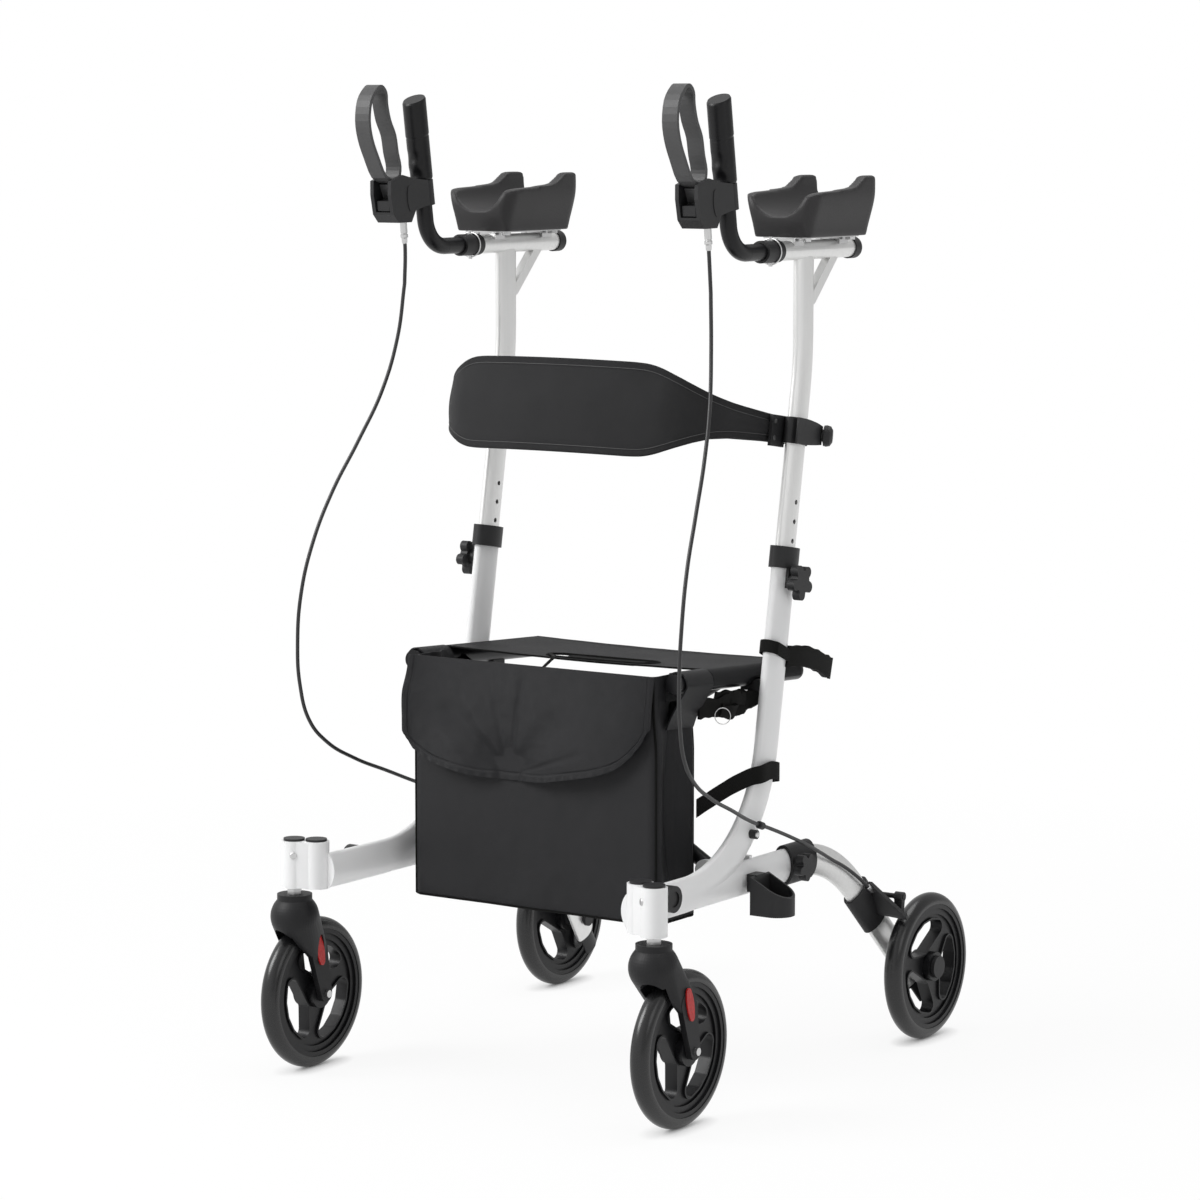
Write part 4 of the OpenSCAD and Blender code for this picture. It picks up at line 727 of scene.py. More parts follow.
def grip_point(u, v):
    """Round the grip by u and up it by v, with a flat cap at each end."""
    front = max(math.cos(u * TURN), 0.0)
    share = min(max((v - GRIP_CAP) / (1 - 2 * GRIP_CAP), 0.0), 1.0)
    radius = GRIP_R + RING_STEP * ramp(share, RING_SHARE, RING_SHARE + RING_STEP_SHARE)
    radius -= RING_GROOVE * hump(share, RING_SHARE, RING_GROOVE_SHARE)
    for depth, middle in HOLLOWS:
        radius -= front ** 2 * depth * hump(share, middle, HOLLOW_SHARE)
    radius -= TOP_ROUND * ramp(share, 1 - TOP_ROUND_SHARE, 1)
    radius -= FOOT_ROUND * (1 - ramp(share, 0, FOOT_ROUND_SHARE))
    radius *= min(v / GRIP_CAP, (1 - v) / GRIP_CAP, 1.0)
    top = GRIP_UP[1] - GRIP_SLANT * math.cos(u * TURN) * radius / GRIP_R
    up = GRIP_UP[0] + (top - GRIP_UP[0]) * share
    return on_handle(radius * math.cos(u * TURN), up, radius * math.sin(u * TURN))


grip = cloth_grid(*GRIP_GRID, (1, 1), grip_point)
outward(grip, merge=1e-6)
stop_half = on_handle(0, STOP_HALF, 0) - on_handle(0, 0, 0)
for side, sign in SIDES:
    grip = copy_across(grip, sign)
    settle(grip, side + "_grip", grip_rubber, angle=40)
    carried(grip, side + "_handle")
    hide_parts(side + "_hand_grip")
    root_ends = mirrored([on_handle(*LEVER_PIVOT, aside) for aside in (-ROOT_HALF, ROOT_HALF)], sign)
    root = turned(LEVER_ROOT, *root_ends, side + "_lever_root", black_plastic)
    carried(root, side + "_lever")
    stop_line = mirrored([on_handle(forward, STOP_UP, 0) for forward in STOP_FORWARD], sign)
    stop = ribbon(stop_line, stop_half, STOP_T, side + "_lever_stop", black_plastic, steps=12)
    carried(stop, side + "_handle")
print("grips", len(grip.data.polygons), "faces each")

# %% [markdown]
# A forearm rest is one block of soft foam with a smooth skin. Its sides flare, a trough runs along it
# and its ears rise at the elbow end. Here its side outline is extruded, the trough is cut by a second
# solid, and a fine remesh with some smoothing rounds every edge the way a mould does.

# %% Forearm pads
PAD_GROW = Vector((0.002, 0.002, 0.001))
PAD_LOW, PAD_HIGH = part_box("left_arm_pad")
PAD_LOW, PAD_HIGH = PAD_LOW - PAD_GROW, PAD_HIGH + PAD_GROW
PAD_SIZE = PAD_HIGH - PAD_LOW
PAD_MIDDLE = (PAD_LOW + PAD_HIGH) / 2
PAD_OUTLINE = (
    (0.07, 0), (0.92, 0), (0.97, 0.30), (0.99, 0.60), (1, 0.86), (0.97, 1), (0.78, 1), (0.70, 0.90),
    (0.62, 0.81), (0.35, 0.76), (0.08, 0.73), (0.02, 0.68), (0, 0.50), (0.02, 0.25),
)
PAD_FLARE, FLARE_UP = 0.78, 0.75
PAD_CORNER, CORNER_FROM = 0.16, 0.72
PAD_VOXEL = 0.0026
TROUGH_R = 0.041
TROUGH_RISE = 0.0265


def pad_block():
    """The pad's outline as a face, drawn out sideways and meshed finely."""
    deselect()
    bpy.ops.mesh.primitive_circle_add(vertices=len(PAD_OUTLINE), fill_type="NGON")
    block = bpy.context.object
    for point, (along, up) in zip(block.data.vertices, PAD_OUTLINE):
        point.co = (PAD_LOW.x, PAD_LOW.y + along * PAD_SIZE.y, PAD_LOW.z + up * PAD_SIZE.z)
    bpy.ops.object.mode_set(mode="EDIT")
    bpy.ops.mesh.select_all(action="SELECT")
    bpy.ops.mesh.extrude_region_move(TRANSFORM_OT_translate={"value": (PAD_SIZE.x, 0, 0)})
    bpy.ops.mesh.select_all(action="SELECT")
    bpy.ops.mesh.normals_make_consistent(inside=False)
    bpy.ops.object.mode_set(mode="OBJECT")
    modify(block, "REMESH", mode="VOXEL", voxel_size=PAD_VOXEL)
    return block


def round_plan(block):
    """Pulls the foot in and rounds the corners as seen from above."""
    for point in block.data.vertices:
        up = (point.co.z - PAD_LOW.z) / PAD_SIZE.z
        end = abs(point.co.y - PAD_MIDDLE.y) / (PAD_SIZE.y / 2)
        tight = PAD_FLARE + (1 - PAD_FLARE) * ramp(up, 0, FLARE_UP)
        corner = 1 - PAD_CORNER * ramp(end, CORNER_FROM, 1) ** 2
        point.co.x = PAD_MIDDLE.x + (point.co.x - PAD_MIDDLE.x) * tight * corner


def carve_trough(block):
    """Cuts the trough that the forearm lies in."""
    deselect()
    at = (PAD_MIDDLE.x, PAD_MIDDLE.y, PAD_LOW.z + TROUGH_RISE + TROUGH_R)
    bpy.ops.mesh.primitive_cylinder_add(
        vertices=72, radius=TROUGH_R, depth=2 * PAD_SIZE.y, location=at, rotation=(math.pi / 2, 0, 0)
    )
    log = bpy.context.object
    modify(block, "BOOLEAN", operation="DIFFERENCE", object=log, solver="EXACT")
    bpy.data.objects.remove(log)
    modify(block, "REMESH", mode="VOXEL", voxel_size=PAD_VOXEL)
    modify(block, "SMOOTH", factor=0.5, iterations=6)


pad = pad_block()
round_plan(pad)
carve_trough(pad)
for side, sign in SIDES:
    pad = copy_across(pad, sign)
    settle(pad, side + "_pad", pad_skin, angle=80)
    carried(pad, side + "_upper")
    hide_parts(side + "_arm_pad")
print("pads", len(pad.data.polygons), "faces each")

# %% [markdown]
# The backrest is a padded band hung in front of the posts. Seen from above it runs forward along each
# side, turns a round corner and bows across. Its height swells in the middle and narrows to a webbing
# end. Each point comes from its place along the band, up the band and round its section, which is thin
# at the bound edge, drawn in at the stitch line and crowned between.

# %% Backrest path
STRAP_AT = (0.0, 0.0594, 0.8422)
STRAP_LEAN = math.radians(10)
STRAP_X = 0.21925
STRAP_SIDE = 0.130
STRAP_TILT = math.radians(5)
STRAP_CORNER_R = 0.084
STRAP_SWEEP = math.radians(73)
STRAP_HALF_H = 0.0605
STRAP_TAPER_S = (0.125, 0.147, 0.171, 0.200, 0.226, 0.255, 0.283, 0.348, 0.39)
STRAP_TAPER_H = (1.0, 0.965, 0.80, 0.60, 0.46, 0.39, 0.355, 0.30, 0.29)
TAPER_EASE = 0.012
STRAP_HALF_T = 0.0048
BIND = 0.009


def heading(angle):
    """The way outwards in the band's own plane, turned forward by that angle."""
    return Vector((math.cos(angle), -math.sin(angle)))


side_end = Vector((STRAP_X - STRAP_SIDE * math.sin(STRAP_TILT), -STRAP_SIDE * math.cos(STRAP_TILT)))
corner_at = side_end - STRAP_CORNER_R * heading(STRAP_TILT)
sweep_way = heading(STRAP_SWEEP)
corner_end = corner_at + STRAP_CORNER_R * sweep_way
front_r = corner_end.x / sweep_way.x
front_y = corner_end.y - front_r * sweep_way.y
front_half = front_r * (math.pi / 2 - STRAP_SWEEP)
corner_l = STRAP_CORNER_R * (STRAP_SWEEP - STRAP_TILT)
strap_half = front_half + corner_l + STRAP_SIDE


def strap_line(s):
    """Place in the band's own plane, and the way outwards, at s from its middle."""
    along = abs(s)
    if along < front_half:
        out = heading(math.pi / 2 - along / front_r)
        spot = Vector((0, front_y)) + front_r * out
    elif along < front_half + corner_l:
        out = heading(STRAP_SWEEP - (along - front_half) / STRAP_CORNER_R)
        spot = corner_at + STRAP_CORNER_R * out
    else:
        out = heading(STRAP_TILT)
        spot = side_end + Vector((-out.y, out.x)) * (along - front_half - corner_l)
    mirror = -1 if s < 0 else 1
    return Vector((mirror * spot.x, spot.y)), Vector((mirror * out.x, out.y))


def strap_place(s, up, proud):
    """World place of a point s along the band, up its height and proud of its middle."""
    spot, out = strap_line(s)
    flat = spot + out * proud
    y = flat.y * math.cos(STRAP_LEAN) + up * math.sin(STRAP_LEAN)
    z = up * math.cos(STRAP_LEAN) - flat.y * math.sin(STRAP_LEAN)
    return Vector((flat.x, STRAP_AT[1] + y, STRAP_AT[2] + z))


def strap_half_height(s):
    return STRAP_HALF_H * read_off(abs(s), STRAP_TAPER_S, STRAP_TAPER_H, TAPER_EASE)


print("backrest band", round(2 * strap_half, 3), "m long")

# %% Backrest band
STRAP_STEPS = 260
STRAP_RING = 56
BIND_HALF_T, BIND_ROLL, BIND_ROLL_W = 0.0022, 0.0002, 0.002
QUILT_HALF_T = 0.0026
STITCH_DEPTH, STITCH_REACH = 0.0007, 0.0016
EDGE_ROUND = (-0.001, 0.0012)
BAND_SLACK, BAND_SLACK_IN = 0.0008, 0.02


def strap_section(turn, half):
    """Height and thickness of the band's section at one turn of its ring."""
    up = math.sin(turn) * half
    edge = half - abs(up)
    thick = BIND_HALF_T + BIND_ROLL * ramp(edge, 0, BIND_ROLL_W)
    if edge > BIND:
        thick = QUILT_HALF_T + (STRAP_HALF_T - QUILT_HALF_T) * math.sqrt(ramp(edge, BIND, half))
    thick -= STITCH_DEPTH * hump(edge, BIND, STITCH_REACH)
    face = 1 if math.cos(turn) > 0 else -1
    return up, face * thick * ramp(edge, *EDGE_ROUND)


def strap_point(u, v):
    s = (2 * u - 1) * strap_half
    half = strap_half_height(s)
    up, proud = strap_section(v * TURN - math.pi / 2, half)
    soft = BAND_SLACK * ripple(s, up, scale=26, seed=3.1) * ramp(half - abs(up), BIND, BAND_SLACK_IN)
    return strap_place(s, up, proud + soft)


def with_band(piece):
    """Cloth that hangs between the posts: it rides with the left post and has a mesh of its own."""
    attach(piece, "left_upper")
    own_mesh(piece)


band = cloth_grid(STRAP_STEPS, STRAP_RING, (2 * strap_half, 4 * STRAP_HALF_H), strap_point)
outward(band)
only(band)
bpy.ops.object.mode_set(mode="EDIT")
bpy.ops.mesh.select_all(action="DESELECT")
bpy.ops.mesh.select_non_manifold()
bpy.ops.mesh.edge_face_add()
bpy.ops.object.mode_set(mode="OBJECT")
settle(band, "backrest_band", backrest_cloth, angle=60)
with_band(band)
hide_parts("backrest_strap")
print("backrest", len(band.data.polygons), "faces")

# %% [markdown]
# A line of thread runs along the band inside its bound edges. Each end of the band is riveted to a
# plastic tab in front of the post, and the clip behind it ends in a domed button.

# %% Backrest trims
THREAD_R = 0.0005
THREAD_PROUD = 0.0024
SEAM_STEPS, SEAM_SHARE = 80, 0.94
TAB_POINTS = ((0.2240, 0.016, 0.8465), (0.2248, 0.030, 0.8445), (0.2256, 0.046, 0.8420))
TAB_HALF = (0, 0.0036, 0.0200)
TAB_T = 0.0046
RIVET = ((0, 0), (0.0034, 0), (0.0032, 0.5), (0.0020, 0.9), (0, 1))
RIVETS_AT = ((0.2268, 0.0245, 0.8575), (0.2268, 0.0210, 0.8360))
RIVET_RISE = 0.0014
BUTTON = (
    (0, 0), (0.0080, 0), (0.0080, 0.36), (0.0135, 0.42), (0.0142, 0.60), (0.0130, 0.84), (0.0085, 0.98),
    (0, 1),
)
BUTTON_ALONG = ((0.2430, 0.1020, 0.8345), (0.2615, 0.1110, 0.8331))
HOOK = (
    (0.2518, 0.0370, 0.8460), (0.2522, 0.0600, 0.8418), (0.2522, 0.0820, 0.8378), (0.2500, 0.1010, 0.8342),
)
HOOK_HALF = ((0, 0.0029, 0.0165), (0, 0.0029, 0.0165), (0, 0.0026, 0.0145), (0, 0.0021, 0.0120))
HOOK_T = 0.0026

for way, row in ((1, "top"), (-1, "foot")):
    seam = []
    for k in range(SEAM_STEPS + 1):
        s = (2 * k / SEAM_STEPS - 1) * strap_half * SEAM_SHARE
        seam.append(strap_place(s, way * (strap_half_height(s) - BIND), THREAD_PROUD))
    with_band(sleeve(seam, "backrest_seam_" + row, THREAD_R, thread_grey))
for side, sign in SIDES:
    fittings = [
        ribbon(mirrored(TAB_POINTS, sign), TAB_HALF, TAB_T, side + "_strap_tab", black_plastic, steps=12),
        turned(BUTTON, *mirrored(BUTTON_ALONG, sign), side + "_strap_button", black_plastic),
        ribbon(mirrored(HOOK, sign), HOOK_HALF, HOOK_T, side + "_strap_hook", black_plastic, steps=24),
    ]
    for number, (x, y, z) in enumerate(RIVETS_AT):
        ends = mirrored([(x, y, z), (x + RIVET_RISE, y, z)], sign)
        fittings.append(turned(RIVET, *ends, side + "_strap_rivet_" + str(number), lever_plastic, sides=16))
    for piece in fittings:
        carried(piece, side + "_upper")
print("backrest seams and", len(fittings), "fittings at each side")

# %% [markdown]
# The seat is one sheet of coated nylon, stretched between the two rails and sewn round them as sleeves.
# Its section is a path: up round the far rail from below, across with a slight sag, and down round the
# near rail. The sleeve is let out where the post's cradle holds the rail. A solidify gives its thickness.

# %% Seat sling
RAIL_X = 0.2055
RAIL_R = 0.0127
RAIL_FRONT_Y = -0.183
RAIL_FRONT_Z = 0.536
RAIL_FALL = math.tan(math.radians(3))
SEAT_Y = (-0.1115, 0.1035)
SEAT_T = 0.0018
SEAT_GRID = (280, 90)
SEAT_SAG = 0.004
SEAT_SLACK = 0.0003
FLAT_SHARE = 0.80
HEM_SHARE, HEM_TIGHT, HEM_INSET = 0.05, 0.35, 0.1
WRAP = math.radians(112)
CRADLE_WRAP = math.radians(88)
CRADLE_Y = (-0.022, 0.034)
CRADLE_EASE = 0.012
SLEEVE_GAP = 0.0006
WRAP_R = RAIL_R + SLEEVE_GAP + SEAT_T / 2
SLOT_AT = (0.021, -0.070)
SLOT_HALF = (0.084, 0.019)
SLOT_STEPS, HEM_STEPS = 32, 24
PULL_REACH, PULL_HALF, PULL_T, PULL_SINK = 0.060, 0.0180, 0.0018, 0.0012
BINDING_R = 0.0013
PULL_END = (
    (-0.052, -0.086, 0.5450), (-0.040, -0.098, 0.5452), (-0.028, -0.113, 0.5450), (-0.030, -0.122, 0.5390),
    (-0.036, -0.132, 0.5290), (-0.040, -0.142, 0.5160),
)
PULL_END_HALF = (0.0022, 0.0010, 0)
PULL_END_T, PULL_END_FRAY = 0.0012, 0.0003


def rail_height(y):
    """Height of the rails' axis, which falls towards the rear."""
    return RAIL_FRONT_Z - (y - RAIL_FRONT_Y) * RAIL_FALL


def seat_point(u, v):
    """Across the sheet from sleeve to sleeve by u, and from front to back by v."""
    y = SEAT_Y[0] + (SEAT_Y[1] - SEAT_Y[0]) * v
    front, rear = CRADLE_Y
    in_cradle = ramp(y, front - CRADLE_EASE, front) - ramp(y, rear, rear + CRADLE_EASE)
    wrap = WRAP - (WRAP - CRADLE_WRAP) * in_cradle
    side = -1 if u < 0.5 else 1
    t = abs(2 * u - 1)
    if t < FLAT_SHARE:
        x = t / FLAT_SHARE * RAIL_X
        hem = hump(v, 0, HEM_SHARE) + hump(v, 1, HEM_SHARE)
        sag = SEAT_SAG * math.cos(math.pi / 2 * t / FLAT_SHARE) * (1 - HEM_TIGHT * hem)
        slack = SEAT_SLACK * ripple(x, y, scale=30, seed=7.7)
        return Vector((side * x, y, rail_height(y) + WRAP_R - sag + slack))
    turn = math.pi / 2 - (t - FLAT_SHARE) / (1 - FLAT_SHARE) * wrap
    x = RAIL_X + WRAP_R * math.cos(turn)
    return Vector((side * x, y, rail_height(y) + WRAP_R * math.sin(turn)))


def in_seat_slot(spot):
    """Whether a point of the sheet lies in the hand slot."""
    past = max(abs(spot.x - SLOT_AT[0]) - (SLOT_HALF[0] - SLOT_HALF[1]), 0)
    flat_part = abs(spot.x) < RAIL_X - RAIL_R
    return flat_part and math.hypot(past, spot.y - SLOT_AT[1]) < SLOT_HALF[1]


def seat_height(x, y):
    """Height of the sheet's middle at a place between the rails."""
    return rail_height(y) + WRAP_R - SEAT_SAG * math.cos(math.pi / 2 * x / RAIL_X)


def with_seat(piece):
    """Cloth of the seat: its place goes into its mesh, and it is carried by no body."""
    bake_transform(piece)


seat_flat = (2 * (RAIL_X + WRAP_R * WRAP), SEAT_Y[1] - SEAT_Y[0])
seat = cloth_grid(*SEAT_GRID, seat_flat, seat_point)
only(seat)
bpy.ops.object.mode_set(mode="EDIT")
bpy.ops.mesh.select_mode(type="FACE")
bpy.ops.mesh.select_all(action="DESELECT")
bpy.ops.object.mode_set(mode="OBJECT")
for face in seat.data.polygons:
    face.select = in_seat_slot(face.center)
bpy.ops.object.mode_set(mode="EDIT")
bpy.ops.mesh.delete(type="FACE")
bpy.ops.object.mode_set(mode="OBJECT")
modify(seat, "SOLIDIFY", thickness=SEAT_T, offset=0)
outward(seat)
settle(seat, "seat_sheet", seat_nylon, angle=60)
with_seat(seat)
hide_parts("seat_sling")

slot_edge = []
for k in range(SLOT_STEPS + 1):
    angle = TURN * k / SLOT_STEPS
    reach = math.copysign(SLOT_HALF[0] - SLOT_HALF[1], math.cos(angle))
    x = SLOT_AT[0] + reach + (SLOT_HALF[1] + BINDING_R) * math.cos(angle)
    y = SLOT_AT[1] + (SLOT_HALF[1] + BINDING_R) * math.sin(angle)
    slot_edge.append((x, y, seat_height(x, y) + BINDING_R))
pull_x = (SLOT_AT[0] - PULL_REACH, SLOT_AT[0], SLOT_AT[0] + PULL_REACH)
pull_line = [(x, SLOT_AT[1], seat_height(x, SLOT_AT[1]) - PULL_SINK) for x in pull_x]
trims = [
    sleeve(slot_edge, "seat_slot_binding", BINDING_R, webbing),
    ribbon(pull_line, (0, PULL_HALF, 0), PULL_T, "seat_pull_strap", webbing),
    ribbon(PULL_END, PULL_END_HALF, PULL_END_T, "seat_pull_end", webbing, PULL_END_FRAY, steps=40),
]
for v, row in ((0, "front"), (1, "rear")):
    across = [HEM_INSET + (1 - 2 * HEM_INSET) * k / HEM_STEPS for k in range(HEM_STEPS + 1)]
    edge = [seat_point(u, v) for u in across]
    trims.append(sleeve(edge, "seat_hem_" + row, BINDING_R, webbing))
for piece in trims:
    with_seat(piece)
print("seat sheet", [round(c, 3) for c in seat_flat])

# %% [markdown]
# The bag is a soft open box of nylon. A ring of points goes round its plan at many heights: the front
# and back panels belly out, the gussets fold inwards between their piped corners, and the rear rim
# hangs lower. The bottom closes with ever smaller rings. Slow noise adds the slack of real cloth.

# %% Bag
BAG_HALF_W = 0.1885
BAG_Y = (-0.2025, -0.1095)
BAG_Z = (0.2275, 0.546)
BAG_CORNER = 0.012
BAG_RING = 168
BAG_ROWS = 64
BAG_T = 0.0016
BAG_SLACK = 0.0016
BAG_FINE_SLACK = 0.0007
BAG_SPREAD, SPREAD_Z = 0.024, (0.44, 0.51)
RIM_DIP, RIM_DIP_Y = 0.040, (-0.135, -0.112)
BAG_FLOOR_ROWS = 12
BAG_FLOOR_SAG = 0.0028
PANEL_SWELL = (0.0050, -0.0150, 0.0030, -0.0150)
FULL_REACH, FULL_POWER = 1.12, 0.8
GUSSETS = (1, 3)
GUSSET_FOLD, GUSSET_FOLD_SHARE, GUSSET_FOLD_UP = 0.006, 0.3, (0.05, 0.3)
PIPING_R, PIPING_FOOT, PIPING_RISE = 0.0016, 0.19, 0.80
PIPING_STEPS, FOOT_STEPS, FOOT_SINK = 15, 60, 0.0004
bag_mid_y = (BAG_Y[0] + BAG_Y[1]) / 2
bag_half_d = (BAG_Y[1] - BAG_Y[0]) / 2
bag_wide = 2 * (BAG_HALF_W - BAG_CORNER)
bag_deep = 2 * (bag_half_d - BAG_CORNER)
bag_arc = BAG_CORNER * math.pi / 2
bag_round = 2 * bag_wide + 2 * bag_deep + 4 * bag_arc
bag_panels = ((bag_wide, (0, -1)), (bag_deep, (1, 0)), (bag_wide, (0, 1)), (bag_deep, (-1, 0)))


def bag_plan(u):
    """A point of the bag's plan, the way outwards, its place on its panel from -1 to 1, and which panel."""
    left = (u % 1) * bag_round
    for number, (length, out) in enumerate(bag_panels):
        along = Vector((-out[1], out[0]))
        middle = Vector((out[0] * BAG_HALF_W, out[1] * bag_half_d))
        if left < length:
            return middle + along * (left - length / 2), Vector(out), 2 * left / length - 1, number
        left -= length
        if left < bag_arc:
            angle = left / BAG_CORNER
            way = Vector(out) * math.cos(angle) + along * math.sin(angle)
            corner = middle + along * (length / 2) - Vector(out) * BAG_CORNER
            return corner + way * BAG_CORNER, way, 1, number
        left -= bag_arc
    return bag_plan(0.0)


def bag_rim(y):
    """Height of the rim: it dips towards the rear."""
    return BAG_Z[1] - RIM_DIP * ramp(y, *RIM_DIP_Y)


def bag_point(u, v):
    """Round the bag by u, up from the floor's middle to the rim by v."""
    spot, out, panel, number = bag_plan(u)
    floor_share = BAG_FLOOR_ROWS / BAG_ROWS
    belly = 1 - panel * panel
    if v < floor_share:
        inward = v / floor_share
        sag = BAG_FLOOR_SAG * (1 - inward ** 4)
        return Vector((spot.x * inward, bag_mid_y + spot.y * inward, BAG_Z[0] - sag))
    up = (v - floor_share) / (1 - floor_share)
    z = BAG_Z[0] + up * (bag_rim(bag_mid_y + spot.y) - BAG_Z[0])
    fullness = math.sin(math.pi * min(up * FULL_REACH, 1)) ** FULL_POWER
    swell = PANEL_SWELL[number] * belly * fullness
    if number in GUSSETS:
        swell -= GUSSET_FOLD * hump(panel, 0, GUSSET_FOLD_SHARE) * ramp(up, *GUSSET_FOLD_UP)
    slack = BAG_SLACK * ripple(spot.x + 0.7 * spot.y, z * 0.6, scale=16, seed=11.3) * belly
    slack += BAG_FINE_SLACK * ripple(spot.x, z, scale=48, seed=2.9) * belly
    edge = spot + out * (swell + slack)
    wide = 1 + BAG_SPREAD * (1 - ramp(z, *SPREAD_Z))
    return Vector((edge.x * wide, bag_mid_y + edge.y, z))


def with_bag(piece, body="bag"):
    """Cloth that rides with the bag, or with the body given, and has a mesh of its own."""
    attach(piece, body)
    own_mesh(piece)


bag_flat = (4 * (BAG_HALF_W + bag_half_d), BAG_Z[1] - BAG_Z[0] + bag_half_d)
bag = cloth_grid(BAG_RING, BAG_ROWS, bag_flat, bag_point)
outward(bag, merge=2e-5)
modify(bag, "SOLIDIFY", thickness=BAG_T, offset=-1)
settle(bag, "bag_shell", bag_nylon, angle=60)
with_bag(bag)
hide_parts("bag")
for number in range(len(bag_panels)):
    so_far = sum(length for length, out in bag_panels[: number + 1])
    around = (so_far + (number + 0.5) * bag_arc) / bag_round
    rise = [PIPING_FOOT + PIPING_RISE * k / PIPING_STEPS for k in range(PIPING_STEPS + 1)]
    piping = [bag_point(around, v) for v in rise]
    with_bag(sleeve(piping, "bag_piping_" + str(number), PIPING_R, webbing))
foot = [bag_point(k / FOOT_STEPS, PIPING_FOOT) - Vector((0, 0, FOOT_SINK)) for k in range(FOOT_STEPS + 1)]
with_bag(sleeve(foot, "bag_piping_foot", PIPING_R, webbing))
print("bag", len(bag.data.polygons), "faces")

# %% [markdown]
# The flap is sewn along the front of the rim and hangs over the front panel. A tuck near its middle
# draws the lower edge back, so the cloth billows on both sides of it. Its outline has large round
# corners and a hem.

# %% Bag flap
FLAP_X = (-0.196, 0.190)
FLAP_EDGE_X = (-0.196, -0.189, -0.147, -0.079, -0.028, 0.026, 0.110, 0.140, 0.165, 0.183, 0.190)
FLAP_EDGE_DROP = (0.090, 0.1166, 0.1367, 0.1490, 0.1510, 0.1485, 0.1324, 0.122, 0.100, 0.077, 0.058)
EDGE_EASE = 0.010
FLAP_L = max(FLAP_EDGE_DROP)
FLAP_T = 0.0014
FLAP_GRID = (220, 120)
FLAP_STAND, FLAP_LEAST = 0.0070, 0.0055
FLAP_CLEAR, FLAP_RISE = 0.0012, 0.0008
LIFT_DROP = (-0.012, 0.05)
TUCK_AT = (-0.031, 0.146)
# The far and near billow, the tuck between them, and the flap's far and near end. Each has its middle,
# its reach, the drops between which it grows, and how far it stands off.
BILLOWS = (
    (-0.112, 0.085, 0.02, 0.12, 0.0150),
    (0.075, 0.110, 0.02, 0.12, 0.0150),
    (TUCK_AT[0], 0.024, 0.09, 0.142, -0.0085),
    (FLAP_X[0], 0.07, 0.005, 0.06, 0.009),
    (FLAP_X[1], 0.05, 0.01, 0.07, 0.003),
)
# Each crease has its angle from straight up, its depth and its width.
CREASES = (
    (-0.85, 0.0060, 0.022), (-0.22, 0.0012, 0.007), (0.16, 0.0016, 0.005), (0.80, 0.0050, 0.024),
    (1.25, 0.0014, 0.005),
)
CREASE_NARROW, CREASE_SPREAD = 0.45, 0.12
CREASE_START, CREASE_FADE = 0.03, (0.09, 0.15)
FLAP_SLACK, FLAP_FINE_SLACK, SLACK_DROP = 0.0022, 0.0008, 0.02
PLEAT, PLEAT_WAVE, PLEATS_AT, PLEATS_DROP = 0.0007, 210, (-0.02, 0.06), (0.015, 0.06)
PUCKER, PUCKER_WAVE = 0.0006, 420
FLAP_HEM, FLAP_HEM_T, FLAP_HEM_STEP, FLAP_HEM_GROOVE = 0.009, 0.0007, 0.001, 0.0018
flap_mid, flap_half = (FLAP_X[0] + FLAP_X[1]) / 2, (FLAP_X[1] - FLAP_X[0]) / 2


def flap_length(x):
    """Drop of the flap's lower edge at x, smoothed over its corner points."""
    return read_off(x, FLAP_EDGE_X, FLAP_EDGE_DROP, EDGE_EASE)


def creases(x, drop):
    """Depth of the folds that run up from the tuck, each at its own angle from straight up."""
    across, up = x - TUCK_AT[0], TUCK_AT[1] - drop
    far = math.hypot(across, up)
    depth = 0.0
    for angle, deep, wide in CREASES:
        off = abs(across * math.cos(angle) - up * math.sin(angle))
        ahead = across * math.sin(angle) + up * math.cos(angle)
        spread = wide * (CREASE_NARROW + far / CREASE_SPREAD)
        fade = ramp(ahead, 0, CREASE_START) * (1 - ramp(far, *CREASE_FADE))
        depth += deep * hump(off, 0, spread) * fade
    return depth


def flap_billow(x, drop):
    """How far the cloth stands off the bag's front."""
    out = FLAP_STAND
    for middle, reach, low, high, stand in BILLOWS:
        out += stand * hump(x, middle, reach) * ramp(drop, low, high)
    pleats = PLEAT * math.sin(x * PLEAT_WAVE) * hump(x, *PLEATS_AT) * (1 - ramp(drop, *PLEATS_DROP))
    slack = FLAP_SLACK * ripple(x, drop * 0.6, scale=20, seed=5.2)
    slack += FLAP_FINE_SLACK * ripple(x, drop, scale=60, seed=8.8)
    lift = ramp(drop, *LIFT_DROP)
    out = out * lift - creases(x, drop) + (slack + pleats) * ramp(drop, 0, SLACK_DROP)
    return max(out, FLAP_LEAST * lift)


def flap_point(u, v):
    x = flap_mid + flap_half * math.sin((u - 0.5) * math.pi)
    length = flap_length(x)
    drop = v * length
    edge = min(length - drop, flap_half - abs(x - flap_mid))
    step = ramp(-edge, -FLAP_HEM, -FLAP_HEM + FLAP_HEM_STEP)
    hem = FLAP_HEM_T * (step - hump(edge, FLAP_HEM, FLAP_HEM_GROOVE))
    pucker = PUCKER * math.sin(x * PUCKER_WAVE) * (1 - ramp(edge, 0, FLAP_HEM))
    stand = flap_billow(x, drop) + hem + pucker
    return Vector((x, BAG_Y[0] - FLAP_CLEAR - stand, BAG_Z[1] + FLAP_RISE - drop))


flap_flat = (2 * flap_half, FLAP_L)
flap = cloth_grid(*FLAP_GRID, flap_flat, flap_point)
modify(flap, "SOLIDIFY", thickness=FLAP_T, offset=0)
outward(flap)
settle(flap, "bag_flap_sheet", bag_nylon, angle=60)
with_bag(flap, "flap")
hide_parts("bag_flap")

# %% [markdown]
# The bag hangs from the seat rails by a wide loop of its own cloth at each side. The loop leaves the
# gusset, goes out and up round the rail and comes back down inside it.

